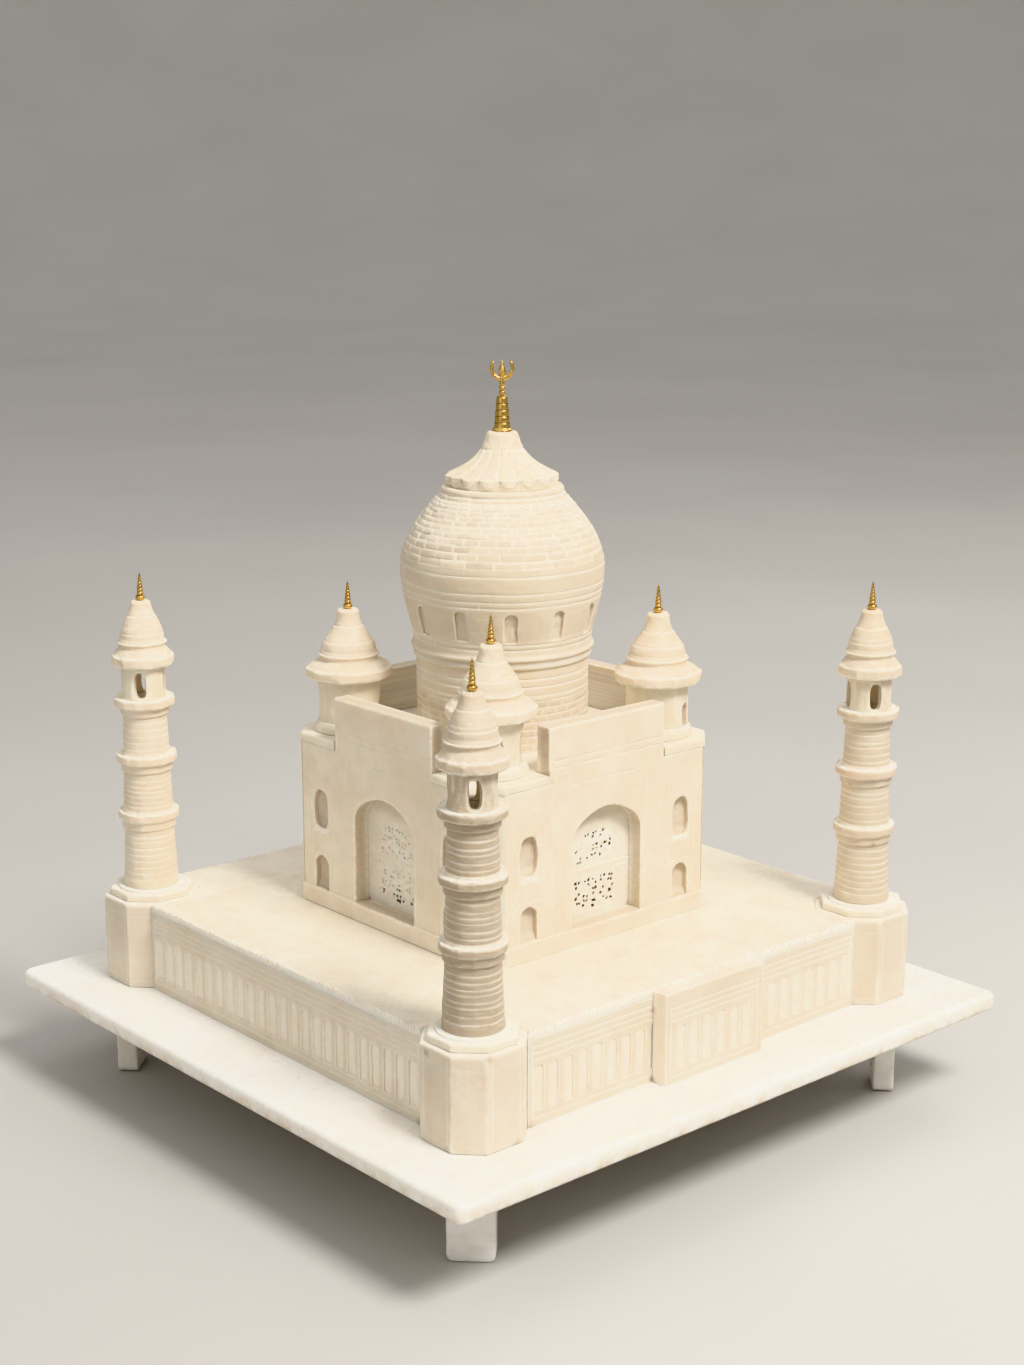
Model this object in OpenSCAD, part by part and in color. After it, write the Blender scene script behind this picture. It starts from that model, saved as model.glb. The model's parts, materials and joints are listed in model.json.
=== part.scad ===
// Stone miniature of a domed tomb with four corner minarets, on a slab with four feet.
// Millimetres, +Z up. The origin is the middle of the area that the feet stand on.
// The front is the -Y side, where the stair block stands against the plinth.

/* [Base slab] */
// Side of the square base slab
slab_side = 305; // [296:1:320]
// Thickness of the base slab
slab_t = 8; // [6:0.5:12]
// Rounding of the slab's edges
slab_round = 2.5; // [1:0.5:2.5]
// Radius of the lamp opening through the middle of the slab
lamp_r = 20; // [12:0.5:26]

/* [Feet] */
// Height of the feet
foot_h = 36.5; // [20:0.5:50]
// Width of each foot plate
foot_w = 18.7; // [14:0.1:24]
// Thickness of each foot plate
foot_t = 9; // [6:0.5:12]
// Distance of each foot's middle from both middle planes of the slab
foot_at = 118; // [100:1:124]

/* [Plinth] */
// Distance of the plinth walls' outer faces from the middle
plinth_half = 120.8; // [119:0.1:122]
// Height of the plinth, from the slab to the top of the deck
plinth_h = 38.3; // [30:0.1:46]
// Thickness of the plinth walls
plinth_wall_t = 6; // [4:0.5:8]
// Thickness of the deck plate
deck_t = 3; // [2.5:0.5:4]
// Radius of the light well through the deck
well_r = 45; // [30:1:50]
// Pitch of the blind panels carved along the plinth walls
panel_pitch = 7.6; // [7:0.1:9]
// Depth of the carved panels and lines
carve = 0.6; // [0.4:0.1:1]

/* [Corner bastions] */
// Distance of each bastion's axis from both middle planes
bastion_at = 109.6; // [108:0.1:111]
// Distance between a bastion's opposite flat faces
bastion_w = 37.3; // [36.6:0.1:38]
// Length of each corner cut of the bastion, along both faces
bastion_cut = 9.5; // [8.5:0.1:10]

/* [Stair block] */
// Width of the stair block
stair_w = 55.5; // [40:0.5:70]
// Distance that the stair block stands out from the plinth
stair_out = 7.2; // [5:0.1:10]

/* [Building] */
// Distance of the outer wall faces from the middle
wall_half = 65.6; // [64:0.1:67]
// Half length of each straight wall, between the cut corners
wall_run = 56; // [55:0.1:57]
// Thickness of the walls
wall_t = 7.5; // [6:0.1:7.5]
// Height of the roof's top face above the deck
roof_h = 75.2; // [72:0.1:80]
// Thickness of the roof plate
roof_t = 3.5; // [3:0.1:4]
// Distance that the roof's edge stands out from the walls
roof_out = 0.8; // [0.4:0.1:1.2]
// Half width of the raised middle part of each wall
portal_half = 32; // [31:0.1:33]
// Height of the raised middle part above the deck
portal_h = 94.7; // [90:0.1:98]
// Height of the band round the foot of the walls
band_h = 7.7; // [6:0.1:9]
// Distance that the band stands out from the walls
band_out = 0.9; // [0.4:0.1:1.2]

/* [Arch and windows] */
// Half width of the portal arch
arch_half = 19.5; // [17:0.1:20]
// Height of the crown of the arch above the deck
arch_top = 56.7; // [54:0.1:60]
// Rise of the curved head of the arch
arch_rise = 13; // [10:0.1:16]
// Distance of the side windows from the middle of the wall
window_at = 43; // [42:0.1:44]
// Width of the side windows
window_w = 9.5; // [8:0.1:10]
// Depth of the side windows
window_deep = 4; // [2:0.1:5]
// Thickness of the pierced screens behind the arches
jali_t = 2.5; // [2:0.1:4]

/* [Roof kiosks] */
// Distance of each kiosk's axis from both middle planes
kiosk_at = 46.5; // [46:0.1:47]
// Radius of the kiosk body
kiosk_r = 13.2; // [12.5:0.1:13.5]
// Radius of the kiosk's eave
kiosk_eave_r = 19.2; // [18:0.1:19.5]
// Height of the kiosk body with its foot
kiosk_h = 22.8; // [20:0.1:25]
// Height of the kiosk cap
kiosk_cap_h = 29.9; // [27:0.1:32]

/* [Dome] */
// Outer radius of the drum
drum_r = 36.5; // [36:0.1:37]
// Height of the drum above the roof
drum_h = 36.5; // [34:0.1:38]
// Largest radius of the dome
dome_r = 43.1; // [41.5:0.1:43.5]
// Height of the dome above the drum
dome_h = 69.8; // [66:0.1:74]
// Radius of the collar on top of the dome
collar_r = 25.9; // [24:0.1:27]
// Wall thickness of the drum and the dome
dome_wall = 6; // [4:0.5:7]
// Radius of the spigot under the drum
dome_spigot_r = 33; // [32:0.5:34]
// Height of the lotus cap
lotus_h = 22.4; // [20:0.1:25]
// Radius of the lotus cap's lip
lotus_r = 24.3; // [22:0.1:24.5]

/* [Minarets] */
// Radius of a minaret at its foot
minaret_foot_r = 12; // [11.5:0.1:12.5]
// Radius of a minaret under its highest balcony
minaret_top_r = 9.4; // [9:0.1:9.8]
// Radius of the balconies
balcony_r = 13.3; // [12.5:0.1:14]
// Height of the minaret from its foot to the top of the lantern
minaret_h = 97.5; // [96:0.1:102]
// Height of the minaret's cap
minaret_cap_h = 28.7; // [26:0.1:31]
// Radius of the cap's eave
minaret_eave_r = 13.9; // [13:0.1:14.5]
// Height of the octagonal pedestal
pedestal_h = 4.2; // [3.8:0.1:5]
// Radius of the spigot under the minaret
spigot_r = 6; // [5:0.1:7]
// Length of the spigot under the minaret
spigot_l = 14; // [10:0.5:18]

/* [Finials] */
// Height of the small finials
finial_h = 12.5; // [10:0.1:15]
// Height of the dome's finial
dome_finial_h = 29; // [27:0.1:32]

/* [Hidden] */
CORNERS = ["front_left", "front_right", "back_right", "back_left"];
SIDES = ["front", "right", "back", "left"];

$fn = 96;

// Colours
marble = [0.93, 0.91, 0.87];
alabaster = [0.93, 0.87, 0.78];
brass = [0.78, 0.58, 0.22];

// Running fit between the two lift-off spigots and their holes
fit = 0.05;
// Clearance round a glued finial peg
glue_gap = 0.05;
// Small overlap that lets a cutter pass a face
over = 1;

// Levels, from the ground up
z_slab = foot_h;
z_plinth = z_slab + slab_t;
z_deck = z_plinth + plinth_h;
z_roof = z_deck + roof_h;
z_dome = z_roof + drum_h;
z_lotus = z_dome + dome_h;
z_dome_top = z_lotus + lotus_h;
z_minaret = z_deck + pedestal_h;
z_minaret_cap = z_minaret + minaret_h;
z_kiosk_cap = z_roof + kiosk_h;

// The flat panels of the plinth walls, between the bastions
plinth_run = bastion_at - bastion_w / 2;
panel_count = 2 * floor((plinth_run - 4) / panel_pitch);

// Each kiosk is turned and opened by hand: turn of one opening, its width and its height
KIOSK_CUTS = [[-135, 12, 14.5], [-158, 5.5, 10], [20, 5.5, 10], [-132, 5.5, 10]];
// Turn of one of the four openings in each minaret's lantern
LANTERN_TURNS = [-125, -122, 48, -131];

// Places something at corner number i, counted anticlockwise from the front left
module at_corner(i, distance) {
    turn = 90 * i;
    rotate([0, 0, turn]) translate([-distance, -distance, 0]) rotate([0, 0, -turn]) children();
}

// Points of an arc, from one angle to another, about a centre
function arc(centre, r, from, to, n) =
    [for (k = [0:n]) let (a = from + (to - from) * k / n) centre + r * [cos(a), sin(a)]];

// Rectangle with its lower left corner at the origin and rounded corners
function round_rect(w, h, r, n = 4) = concat(
    arc([w - r, r], r, -90, 0, n),
    arc([w - r, h - r], r, 0, 90, n),
    arc([r, h - r], r, 90, 180, n),
    arc([r, r], r, 180, 270, n)
);

// Opening with straight sides and a flat-arched head, its sill on the X axis.
// The head is a half ellipse with a slight point.
function arch(half, height, rise, n = 16, tip = 0.12) = concat(
    [[-half, 0], [half, 0]],
    [for (k = [0:n]) let (a = 180 * k / n)
        [half * cos(a), height - rise + rise * ((1 - tip) * sin(a) + tip * (1 - abs(cos(a))))]]
);

// Plan of a bastion: a square with its corners cut
module bastion_plan() {
    h = bastion_w / 2;
    c = bastion_cut;
    polygon([
        [h, -h + c], [h, h - c], [h - c, h], [-h + c, h],
        [-h, h - c], [-h, -h + c], [-h + c, -h], [h - c, -h]
    ]);
}

// Extrudes a shape drawn in X (along the wall) and Z (up) from the plane y towards +Y
module wall_plate(y, t) {
    translate([0, y + t, 0]) rotate([90, 0, 0]) linear_extrude(t) children();
}

module slab_profile() {
    translate([-slab_side / 2, 0]) polygon(round_rect(slab_side, slab_t, slab_round));
}

module base_slab() {
    color(marble) translate([0, 0, z_slab]) difference() {
        intersection() {
            translate([-slab_side / 2, -slab_side / 2, 0])
                linear_extrude(slab_t) polygon(round_rect(slab_side, slab_side, 4));
            translate([0, slab_side / 2, 0])
                rotate([90, 0, 0]) linear_extrude(slab_side) slab_profile();
            rotate([0, 0, 90]) translate([0, slab_side / 2, 0])
                rotate([90, 0, 0]) linear_extrude(slab_side) slab_profile();
        }
        translate([0, 0, -over]) cylinder(r = lamp_r, h = slab_t + 2 * over);
    }
}

// A foot stands across the slab's diagonal, and its lower corners are rounded off
module foot(i) {
    r = 3;
    outline = concat(
        [[foot_w / 2, foot_h], [-foot_w / 2, foot_h]],
        arc([-foot_w / 2 + r, r], r, 180, 270, 5),
        arc([foot_w / 2 - r, r], r, 270, 360, 5)
    );
    color(marble) at_corner(i, foot_at) rotate([0, 0, 90 * i - 45])
        wall_plate(-foot_t / 2, foot_t) polygon(outline);
}

// Carved lines and a row of blind panels, centred on x = 0, on a face that looks along -Y at y = 0
module carved_panels(run, count, height) {
    panel_low = 6;
    panel_high = height - 11;
    for (k = [0:count - 1])
        translate([(k - (count - 1) / 2) * panel_pitch, 0, panel_low])
            wall_plate(0, carve) polygon(arch(panel_pitch * 0.28, panel_high - panel_low, 2, 4));
    for (z = [3, height - 9, height - 6.4, height - 3.8])
        translate([-run / 2, 0, z]) cube([run, carve, 0.6]);
}

module plinth_wall(i) {
    h = plinth_h - deck_t;
    color(alabaster) rotate([0, 0, 90 * i]) translate([0, 0, z_plinth]) difference() {
        translate([-plinth_half, -plinth_half, 0]) cube([2 * plinth_half, plinth_wall_t, h]);
        for (s = [-1, 1]) translate([s * bastion_at, -bastion_at, -over])
            linear_extrude(h + 2 * over) bastion_plan();
        translate([0, -plinth_half, 0]) carved_panels(2 * plinth_run - 6, panel_count, h);
    }
}

module plinth_deck() {
    color(alabaster) translate([0, 0, z_deck - deck_t]) difference() {
        linear_extrude(deck_t) square(2 * plinth_half, center = true);
        for (i = [0:3]) at_corner(i, bastion_at)
            translate([0, 0, -over]) linear_extrude(deck_t + 2 * over) bastion_plan();
        translate([0, 0, -over]) cylinder(r = well_r, h = deck_t + 2 * over);
    }
}

module bastion(i) {
    socket = spigot_l - pedestal_h + 1;
    color(alabaster) at_corner(i, bastion_at) difference() {
        translate([0, 0, z_plinth]) linear_extrude(plinth_h) bastion_plan();
        translate([0, 0, z_deck - socket]) cylinder(r = spigot_r + fit, h = socket + over);
    }
}

module stair_block() {
    count = floor((stair_w - 6) / panel_pitch);
    color(alabaster) translate([0, -plinth_half - stair_out, z_plinth]) difference() {
        translate([-stair_w / 2, 0, 0]) cube([stair_w, stair_out, plinth_h]);
        carved_panels(stair_w - 4, count, plinth_h - deck_t);
    }
}

// Outline of one wall: a long plate with the raised portal in its middle
module facade_outline() {
    side = roof_h - roof_t;
    polygon([
        [-wall_run, 0], [wall_run, 0], [wall_run, side], [portal_half, side],
        [portal_half, portal_h], [-portal_half, portal_h], [-portal_half, side], [-wall_run, side]
    ]);
}

// Two arched windows, one over the other, on each side of the portal
module window_cuts() {
    for (s = [-1, 1], z = [[band_h + 1.3, 13.3], [band_h + 27.5, 16.6]])
        translate([s * window_at, 0, z[0]]) wall_plate(0, window_deep)
            polygon(arch(window_w / 2, z[1], window_w / 2, 8));
}

// Fine lines carved round the arch and along the top of the portal
module facade_lines() {
    frame_half = arch_half + 2.5;
    frame_top = arch_top + 12.5;
    for (s = [-1, 1]) {
        translate([s * frame_half - 0.3, 0, band_h]) cube([0.6, carve, frame_top - band_h]);
        translate([s * (portal_half - 2) - 0.3, 0, band_h]) cube([0.6, carve, portal_h - 17 - band_h]);
        for (x = [-7.5, 7.5])
            translate([s * window_at + x - 0.3, 0, band_h]) cube([0.6, carve, roof_h - 14 - band_h]);
        translate([s * window_at - 7.5, 0, band_h + 21]) cube([15, carve, 0.6]);
    }
    translate([-frame_half, 0, frame_top]) cube([2 * frame_half, carve, 0.6]);
    for (z = [portal_h - 17, portal_h - 14])
        translate([-portal_half + 2, 0, z]) cube([2 * portal_half - 4, carve, 0.6]);
}

module facade(i) {
    color(alabaster) rotate([0, 0, 90 * i]) translate([0, -wall_half, z_deck]) difference() {
        union() {
            wall_plate(0, wall_t) facade_outline();
            translate([-wall_run, -band_out, 0]) cube([2 * wall_run, wall_t + band_out, band_h]);
        }
        translate([0, -over, band_h]) wall_plate(0, wall_t + 2 * over)
            polygon(arch(arch_half, arch_top - band_h, arch_rise));
        window_cuts();
        facade_lines();
    }
}

// Plan of the strip that closes a cut corner, standing out by a given distance
module corner_plan(out) {
    a = wall_half + out;
    b = wall_half - wall_t;
    polygon([[-wall_run, -a], [-wall_run, -b], [-b, -wall_run], [-a, -wall_run]]);
}

module corner_wall(i) {
    color(alabaster) rotate([0, 0, 90 * i]) translate([0, 0, z_deck]) {
        linear_extrude(band_h) corner_plan(band_out);
        linear_extrude(roof_h - roof_t) corner_plan(0);
    }
}

// Pierced flowers: rings of small four-sided holes on a square grid, inside an arched panel
module jali_holes(columns, rows, pitch) {
    for (c = [0:columns - 1], r = [0:rows - 1])
        translate([(c - (columns - 1) / 2) * pitch, (r + 0.5) * pitch])
            for (k = [0:3]) rotate(45 + 90 * k) translate([pitch * 0.27, 0])
                circle(r = pitch * 0.15, $fn = 4);
}

module jali_screen(i) {
    half = arch_half + 3;
    pitch = 4.6;
    upper = band_h + 22.6;
    color(alabaster) rotate([0, 0, 90 * i]) translate([0, -wall_half + wall_t, z_deck])
        wall_plate(0, jali_t) difference() {
            translate([-half, 0]) square([2 * half, arch_top + 3]);
            translate([0, band_h + 3.3]) jali_holes(5, 3, pitch);
            translate([0, upper]) jali_holes(5, 2, pitch);
            translate([0, upper + 2 * pitch]) jali_holes(3, 1, pitch);
        }
}

// Plan of the building: a square with cut corners
module roof_plan() {
    a = wall_half + roof_out;
    b = wall_run + roof_out * 0.41;
    polygon([[a, -b], [a, b], [b, a], [-b, a], [-a, b], [-a, -b], [-b, -a], [b, -a]]);
}

module roof_plate() {
    color(alabaster) translate([0, 0, z_roof - roof_t]) difference() {
        linear_extrude(roof_t) roof_plan();
        for (i = [0:3]) rotate([0, 0, 90 * i])
            translate([-portal_half, -wall_half - 2 * roof_out, -over])
                cube([2 * portal_half, wall_t + 2 * roof_out, roof_t + 2 * over]);
        translate([0, 0, -over]) cylinder(r = dome_spigot_r + fit, h = roof_t + 2 * over);
    }
}

// A kiosk: a round drum on a sloping foot, hollow, with four arched openings
module kiosk(i) {
    foot_r = 15;
    foot_height = 5;
    wall = 2.6;
    cut = KIOSK_CUTS[i];
    color(alabaster) at_corner(i, kiosk_at) translate([0, 0, z_roof]) difference() {
        rotate_extrude() polygon([
            [0, 0], [foot_r, 0], [foot_r, 3], [kiosk_r + 0.6, foot_height],
            [kiosk_r, foot_height], [kiosk_r, kiosk_h], [0, kiosk_h]
        ]);
        translate([0, 0, foot_height]) cylinder(r = kiosk_r - wall, h = kiosk_h);
        for (k = [0:3]) rotate([0, 0, cut[0] + 90 + 90 * k])
            translate([0, -kiosk_r - over, foot_height])
            wall_plate(0, kiosk_r) polygon(arch(cut[1] / 2, cut[2], cut[1] / 2, 8));
    }
}

// Outline of a bell-shaped cap: thick eave with a rounded rim, neck, bead and bell
function cap_outline(body_r, eave_r, neck_r, top_r, height, power) = let (
    rim = 1.8,
    rim_low = 2,
    rim_high = 4.2,
    neck_z = 9,
    bell_z = 12.5,
    n = 10
) concat(
    [[0, 0], [body_r, 0]],
    arc([eave_r - rim, rim_low], rim, -80, 0, 4),
    arc([eave_r - rim, rim_high], rim, 0, 60, 4),
    [[neck_r, neck_z - 0.5], [neck_r, neck_z + 0.6]],
    arc([neck_r, neck_z + 1.7], 0.8, -60, 60, 4),
    [for (k = [0:n]) let (t = 1 - k / n)
        [top_r + (neck_r - 0.5 - top_r) * pow(sin(90 * t), power), bell_z + (height - 1 - bell_z) * (1 - t)]],
    [[top_r - 1, height], [0, height]]
);

// Hole for a finial's peg, down from the top of a cap
module peg_hole(top, r, deep) {
    translate([0, 0, top - deep]) cylinder(r = r + glue_gap, h = deep + over, $fn = 24);
}

// Small turned finial: peg, base bead, second bead and a tapering stem with rings
finial_peg = 0.8;
finial_peg_l = 4;
function finial_outline(h) = concat(
    [[0, -finial_peg_l], [finial_peg, -finial_peg_l], [finial_peg, 0]],
    arc([0.9, 1.1], 1.1, -85, 60, 6),
    arc([0.6, 2.9], 0.8, -60, 60, 5),
    [for (k = [0:4]) let (z = 4 + (h - 5.5) * k / 5, r = 1.3 * (1 - 0.7 * k / 5), s = (h - 5.5) / 5)
        each [[r, z], [r, z + 0.55 * s], [r * 0.8, z + 0.75 * s]]],
    [[0.2, h - 1], [0, h]]
);

module small_finial() {
    color(brass) rotate_extrude($fn = 32) polygon(finial_outline(finial_h));
}

module kiosk_cap(i) {
    color(alabaster) at_corner(i, kiosk_at) translate([0, 0, z_kiosk_cap]) difference() {
        rotate_extrude() polygon(cap_outline(kiosk_r, kiosk_eave_r, 12.3, 4.9, kiosk_cap_h, 2.8));
        peg_hole(kiosk_cap_h, finial_peg, finial_peg_l + 0.5);
    }
}

module kiosk_finial(i) {
    at_corner(i, kiosk_at) translate([0, 0, z_kiosk_cap + kiosk_cap_h]) small_finial();
}

module dome_drum() {
    spigot_down = roof_t + 0.5;
    inner = drum_r - dome_wall;
    color(alabaster) translate([0, 0, z_roof]) rotate_extrude() polygon([
        [inner, -spigot_down], [dome_spigot_r, -spigot_down], [dome_spigot_r, 0], [drum_r, 0],
        [drum_r, drum_h - 2], [drum_r + 1.2, drum_h - 1.2], [drum_r + 1.2, drum_h], [inner, drum_h]
    ]);
}

// Radius of the onion dome at a height above the drum: it swells up to its widest ring and
// then draws in to the collar
widest_z = 36;
swell_z = 6.7;
function dome_at(z) = z < widest_z
    ? drum_r + 1.2 + (dome_r - drum_r - 1.2) * pow(sin(90 * (z - swell_z) / (widest_z - swell_z)), 1.15)
    : collar_r + (dome_r - collar_r) * cos(90 * (z - widest_z) / (dome_h - 2.5 - widest_z));

module dome_shell() {
    n = 12;
    low = [for (k = [0:n]) swell_z + (widest_z - swell_z) * k / n];
    high = [for (k = [1:n]) widest_z + (dome_h - 2.5 - widest_z) * k / n];
    crown = dome_h - 2.5 - dome_wall;
    inside = [for (k = [n:-1:0]) let (z = swell_z + (crown - swell_z) * k / n)
        [k == n ? 0 : dome_at(z) - dome_wall, z]];
    bead = arc([drum_r + 0.9, 2.8], 1.3, -75, 75, 6);
    color(alabaster) translate([0, 0, z_dome]) rotate_extrude() polygon(concat(
        [[drum_r - dome_wall, 0], [drum_r + 1.2, 0]],
        bead,
        [for (z = concat(low, high)) [dome_at(z), z]],
        [[collar_r, dome_h - 1], [collar_r - 0.8, dome_h], [0, dome_h]],
        inside
    ));
}

// Lotus cap: a scalloped lip under a hollow-sided cone
petals = 16;
module lotus_cap() {
    lip = 4.2;
    lip_low = 1.8;
    recess = 1;
    cone_r = 6.6;
    notch = 2.4;
    n = 12;
    slope = [for (k = [0:n]) let (s = 1 - k / n)
        [cone_r + (lotus_r - cone_r) * (0.7 * pow(s, 3) + 0.3 * s), lotus_h - 0.8 - (lotus_h - 0.8 - lip) * s]];
    color(alabaster) translate([0, 0, z_lotus]) difference() {
        rotate_extrude() polygon(concat(
            [[0, 0], [lotus_r - recess, 0], [lotus_r - recess, 1], [lotus_r, lip_low]],
            slope,
            [[cone_r - 0.8, lotus_h], [0, lotus_h]]
        ));
        for (k = [0:petals - 1]) rotate([0, 0, 360 * (k + 0.5) / petals])
            translate([lotus_r + 0.6, 0, -over]) rotate([0, 0, 45]) cube([notch, notch, 2 * lip]);
        peg_hole(lotus_h, dome_peg_r, dome_peg_l + 0.5);
    }
}

// Dome finial: ringed stem on a flared foot, two beads, and a crescent with a spike in its middle
dome_peg_r = 1.5;
dome_peg_l = 6;
crescent_turn = -41;
module dome_finial() {
    stem = 14.4;
    rings = 5;
    step = (stem - 1.2) / rings;
    bead_r = 1.4;
    neck_r = 1.1;
    crescent_r = 5.4;
    crescent_z = dome_finial_h - 3.3;
    thick = 2;
    color(brass) translate([0, 0, z_dome_top]) {
        rotate_extrude($fn = 48) polygon(concat(
            [[0, -dome_peg_l], [dome_peg_r, -dome_peg_l], [dome_peg_r, 0], [4.3, 0], [4.1, 0.6]],
            [for (k = [0:rings - 1]) let (r = 3.4 - 0.24 * k, z = 1.2 + step * k)
                each [[r, z], [r, z + 0.7 * step], [r - 0.4, z + 0.85 * step]]],
            arc([0.4, stem + bead_r], bead_r - 0.4, -70, 70, 5),
            arc([0.4, stem + 3.2], bead_r - 0.4, -70, 70, 5),
            [[neck_r, stem + 4.6], [neck_r, crescent_z - 4], [1.6, crescent_z - 1.5],
                [0.2, dome_finial_h - 0.3], [0, dome_finial_h]]
        ));
        rotate([0, 0, crescent_turn]) difference() {
            translate([0, 0, crescent_z]) rotate([90, 0, 0])
                cylinder(r = crescent_r, h = thick, center = true, $fn = 48);
            translate([0, 0, crescent_z + 2.6]) rotate([90, 0, 0])
                cylinder(r = crescent_r - 1, h = 2 * thick, center = true, $fn = 48);
        }
    }
}

// Pedestal: an octagonal step with a low round seat for the minaret on it
module pedestal(i) {
    seat_r = 14.5;
    seat_h = 0.9;
    color(alabaster) at_corner(i, bastion_at) translate([0, 0, z_deck]) difference() {
        union() {
            rotate([0, 0, 22.5]) cylinder(r = 18.3, h = pedestal_h - seat_h, $fn = 8);
            cylinder(r = seat_r, h = pedestal_h);
        }
        translate([0, 0, -over]) cylinder(r = spigot_r + fit, h = pedestal_h + 2 * over);
    }
}

// Outline of a balcony on the shaft: collar underneath, thick upright rim and a slightly sunk floor
balcony_h = 8.2;
floor_drop = 0.5;
function balcony(z, shaft_r) = let (
    collar = shaft_r + 1.1,
    top = z + balcony_h
) [
    [shaft_r, z], [collar, z + 0.5], [collar, z + 3.4], [balcony_r - 0.8, z + 3.8], [balcony_r, z + 4.6],
    [balcony_r, top - 0.4], [balcony_r - 0.4, top], [balcony_r - 1.4, top],
    [balcony_r - 1.7, top - floor_drop], [shaft_r, top - floor_drop]
];

// Heights of the three balconies' undersides above the minaret's foot
BALCONIES = [25.8, 51.3, 76.2];
lantern_wall = 2.4;
module minaret(i) {
    foot_r = minaret_foot_r;
    step = (minaret_foot_r - minaret_top_r) / 4;
    lantern_z = BALCONIES[2] + balcony_h - floor_drop;
    color(alabaster) at_corner(i, bastion_at) translate([0, 0, z_minaret]) difference() {
        rotate_extrude() polygon(concat(
            [[0, -spigot_l], [spigot_r, -spigot_l], [spigot_r, 0], [foot_r, 0]],
            balcony(BALCONIES[0], foot_r - 2 * step),
            balcony(BALCONIES[1], foot_r - 3 * step),
            balcony(BALCONIES[2], minaret_top_r),
            [[minaret_top_r, minaret_h], [0, minaret_h]]
        ));
        translate([0, 0, lantern_z]) cylinder(r = minaret_top_r - lantern_wall, h = minaret_h);
        for (k = [0:3]) rotate([0, 0, LANTERN_TURNS[i] + 90 + 90 * k])
            translate([0, -minaret_top_r - over, lantern_z])
            wall_plate(0, minaret_top_r) polygon(arch(2.7, 11, 2.7, 8));
    }
}

module minaret_cap(i) {
    color(alabaster) at_corner(i, bastion_at) translate([0, 0, z_minaret_cap]) difference() {
        rotate_extrude()
            polygon(cap_outline(minaret_top_r, minaret_eave_r, 9.9, 4.4, minaret_cap_h, 1.75));
        peg_hole(minaret_cap_h, finial_peg, finial_peg_l + 0.5);
    }
}

module minaret_finial(i) {
    at_corner(i, bastion_at) translate([0, 0, z_minaret_cap + minaret_cap_h]) small_finial();
}

base_slab();
for (i = [0:3]) foot(i);
for (i = [0:3]) plinth_wall(i);
plinth_deck();
for (i = [0:3]) bastion(i);
stair_block();
for (i = [0:3]) facade(i);
for (i = [0:3]) corner_wall(i);
for (i = [0:3]) jali_screen(i);
roof_plate();
for (i = [0:3]) kiosk(i);
for (i = [0:3]) kiosk_cap(i);
for (i = [0:3]) kiosk_finial(i);
dome_drum();
dome_shell();
lotus_cap();
dome_finial();
for (i = [0:3]) pedestal(i);
for (i = [0:3]) minaret(i);
for (i = [0:3]) minaret_cap(i);
for (i = [0:3]) minaret_finial(i);
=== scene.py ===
"""Looks of a hand-carved stone miniature of a domed tomb: its carved pieces, materials, lights and camera.

Every place comes from the boxes of the CAD nodes. Shapes are worked out in millimetres, as grids of points
that are pushed in and out where the stone is carved, and turned into metres when a mesh is made.
"""
import json
import math

import bmesh
import bpy
import numpy as np
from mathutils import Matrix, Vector
from mathutils.geometry import tessellate_polygon

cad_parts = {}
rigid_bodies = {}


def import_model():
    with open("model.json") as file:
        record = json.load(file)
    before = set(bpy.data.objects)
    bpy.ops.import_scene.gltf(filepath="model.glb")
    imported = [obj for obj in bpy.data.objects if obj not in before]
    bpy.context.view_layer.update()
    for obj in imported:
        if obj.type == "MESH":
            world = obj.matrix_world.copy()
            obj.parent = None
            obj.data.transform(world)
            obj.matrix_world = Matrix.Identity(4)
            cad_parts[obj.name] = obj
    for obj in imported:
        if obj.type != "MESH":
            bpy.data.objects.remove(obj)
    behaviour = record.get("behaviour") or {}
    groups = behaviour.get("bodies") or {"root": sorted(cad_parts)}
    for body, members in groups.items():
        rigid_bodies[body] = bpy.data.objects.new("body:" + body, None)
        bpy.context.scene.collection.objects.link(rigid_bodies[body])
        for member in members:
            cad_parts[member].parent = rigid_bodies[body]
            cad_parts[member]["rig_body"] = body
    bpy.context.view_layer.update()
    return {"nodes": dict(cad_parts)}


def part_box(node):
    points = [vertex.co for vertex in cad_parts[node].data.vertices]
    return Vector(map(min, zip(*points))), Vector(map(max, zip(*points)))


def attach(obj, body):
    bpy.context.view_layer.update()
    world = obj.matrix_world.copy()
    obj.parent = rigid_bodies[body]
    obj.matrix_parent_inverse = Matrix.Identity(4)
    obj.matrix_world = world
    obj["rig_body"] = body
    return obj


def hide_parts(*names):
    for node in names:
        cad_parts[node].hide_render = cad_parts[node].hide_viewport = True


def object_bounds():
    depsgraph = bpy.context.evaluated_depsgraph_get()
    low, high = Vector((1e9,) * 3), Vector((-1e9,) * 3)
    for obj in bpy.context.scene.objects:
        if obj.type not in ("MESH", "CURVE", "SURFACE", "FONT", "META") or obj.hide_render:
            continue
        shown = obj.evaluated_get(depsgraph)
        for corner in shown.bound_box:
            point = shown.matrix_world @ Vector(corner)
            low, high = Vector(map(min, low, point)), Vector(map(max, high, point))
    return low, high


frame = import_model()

MM = 0.001
TURN = 2 * math.pi
MASKS = ("cut", "grime", "tint")  # freshly cut stone (on the slab, darker and yellower low on its sides); dark glue and dirt, and painted shade on the walls of the screen's holes; darker stone, and painted shade in recesses, openings and on the minarets
CORNERS = ("front_left", "front_right", "back_right", "back_left")
CORNER_SIGNS = ((-1, -1), (1, -1), (1, 1), (-1, 1))
SIDES = ("front", "right", "back", "left")


# ---------------------------------------------------------------- the frame, in millimetres

def mm_box(node):
    """Lowest and highest corner of a CAD node, in millimetres."""
    low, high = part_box(node)
    return np.array(low) / MM, np.array(high) / MM


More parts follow.
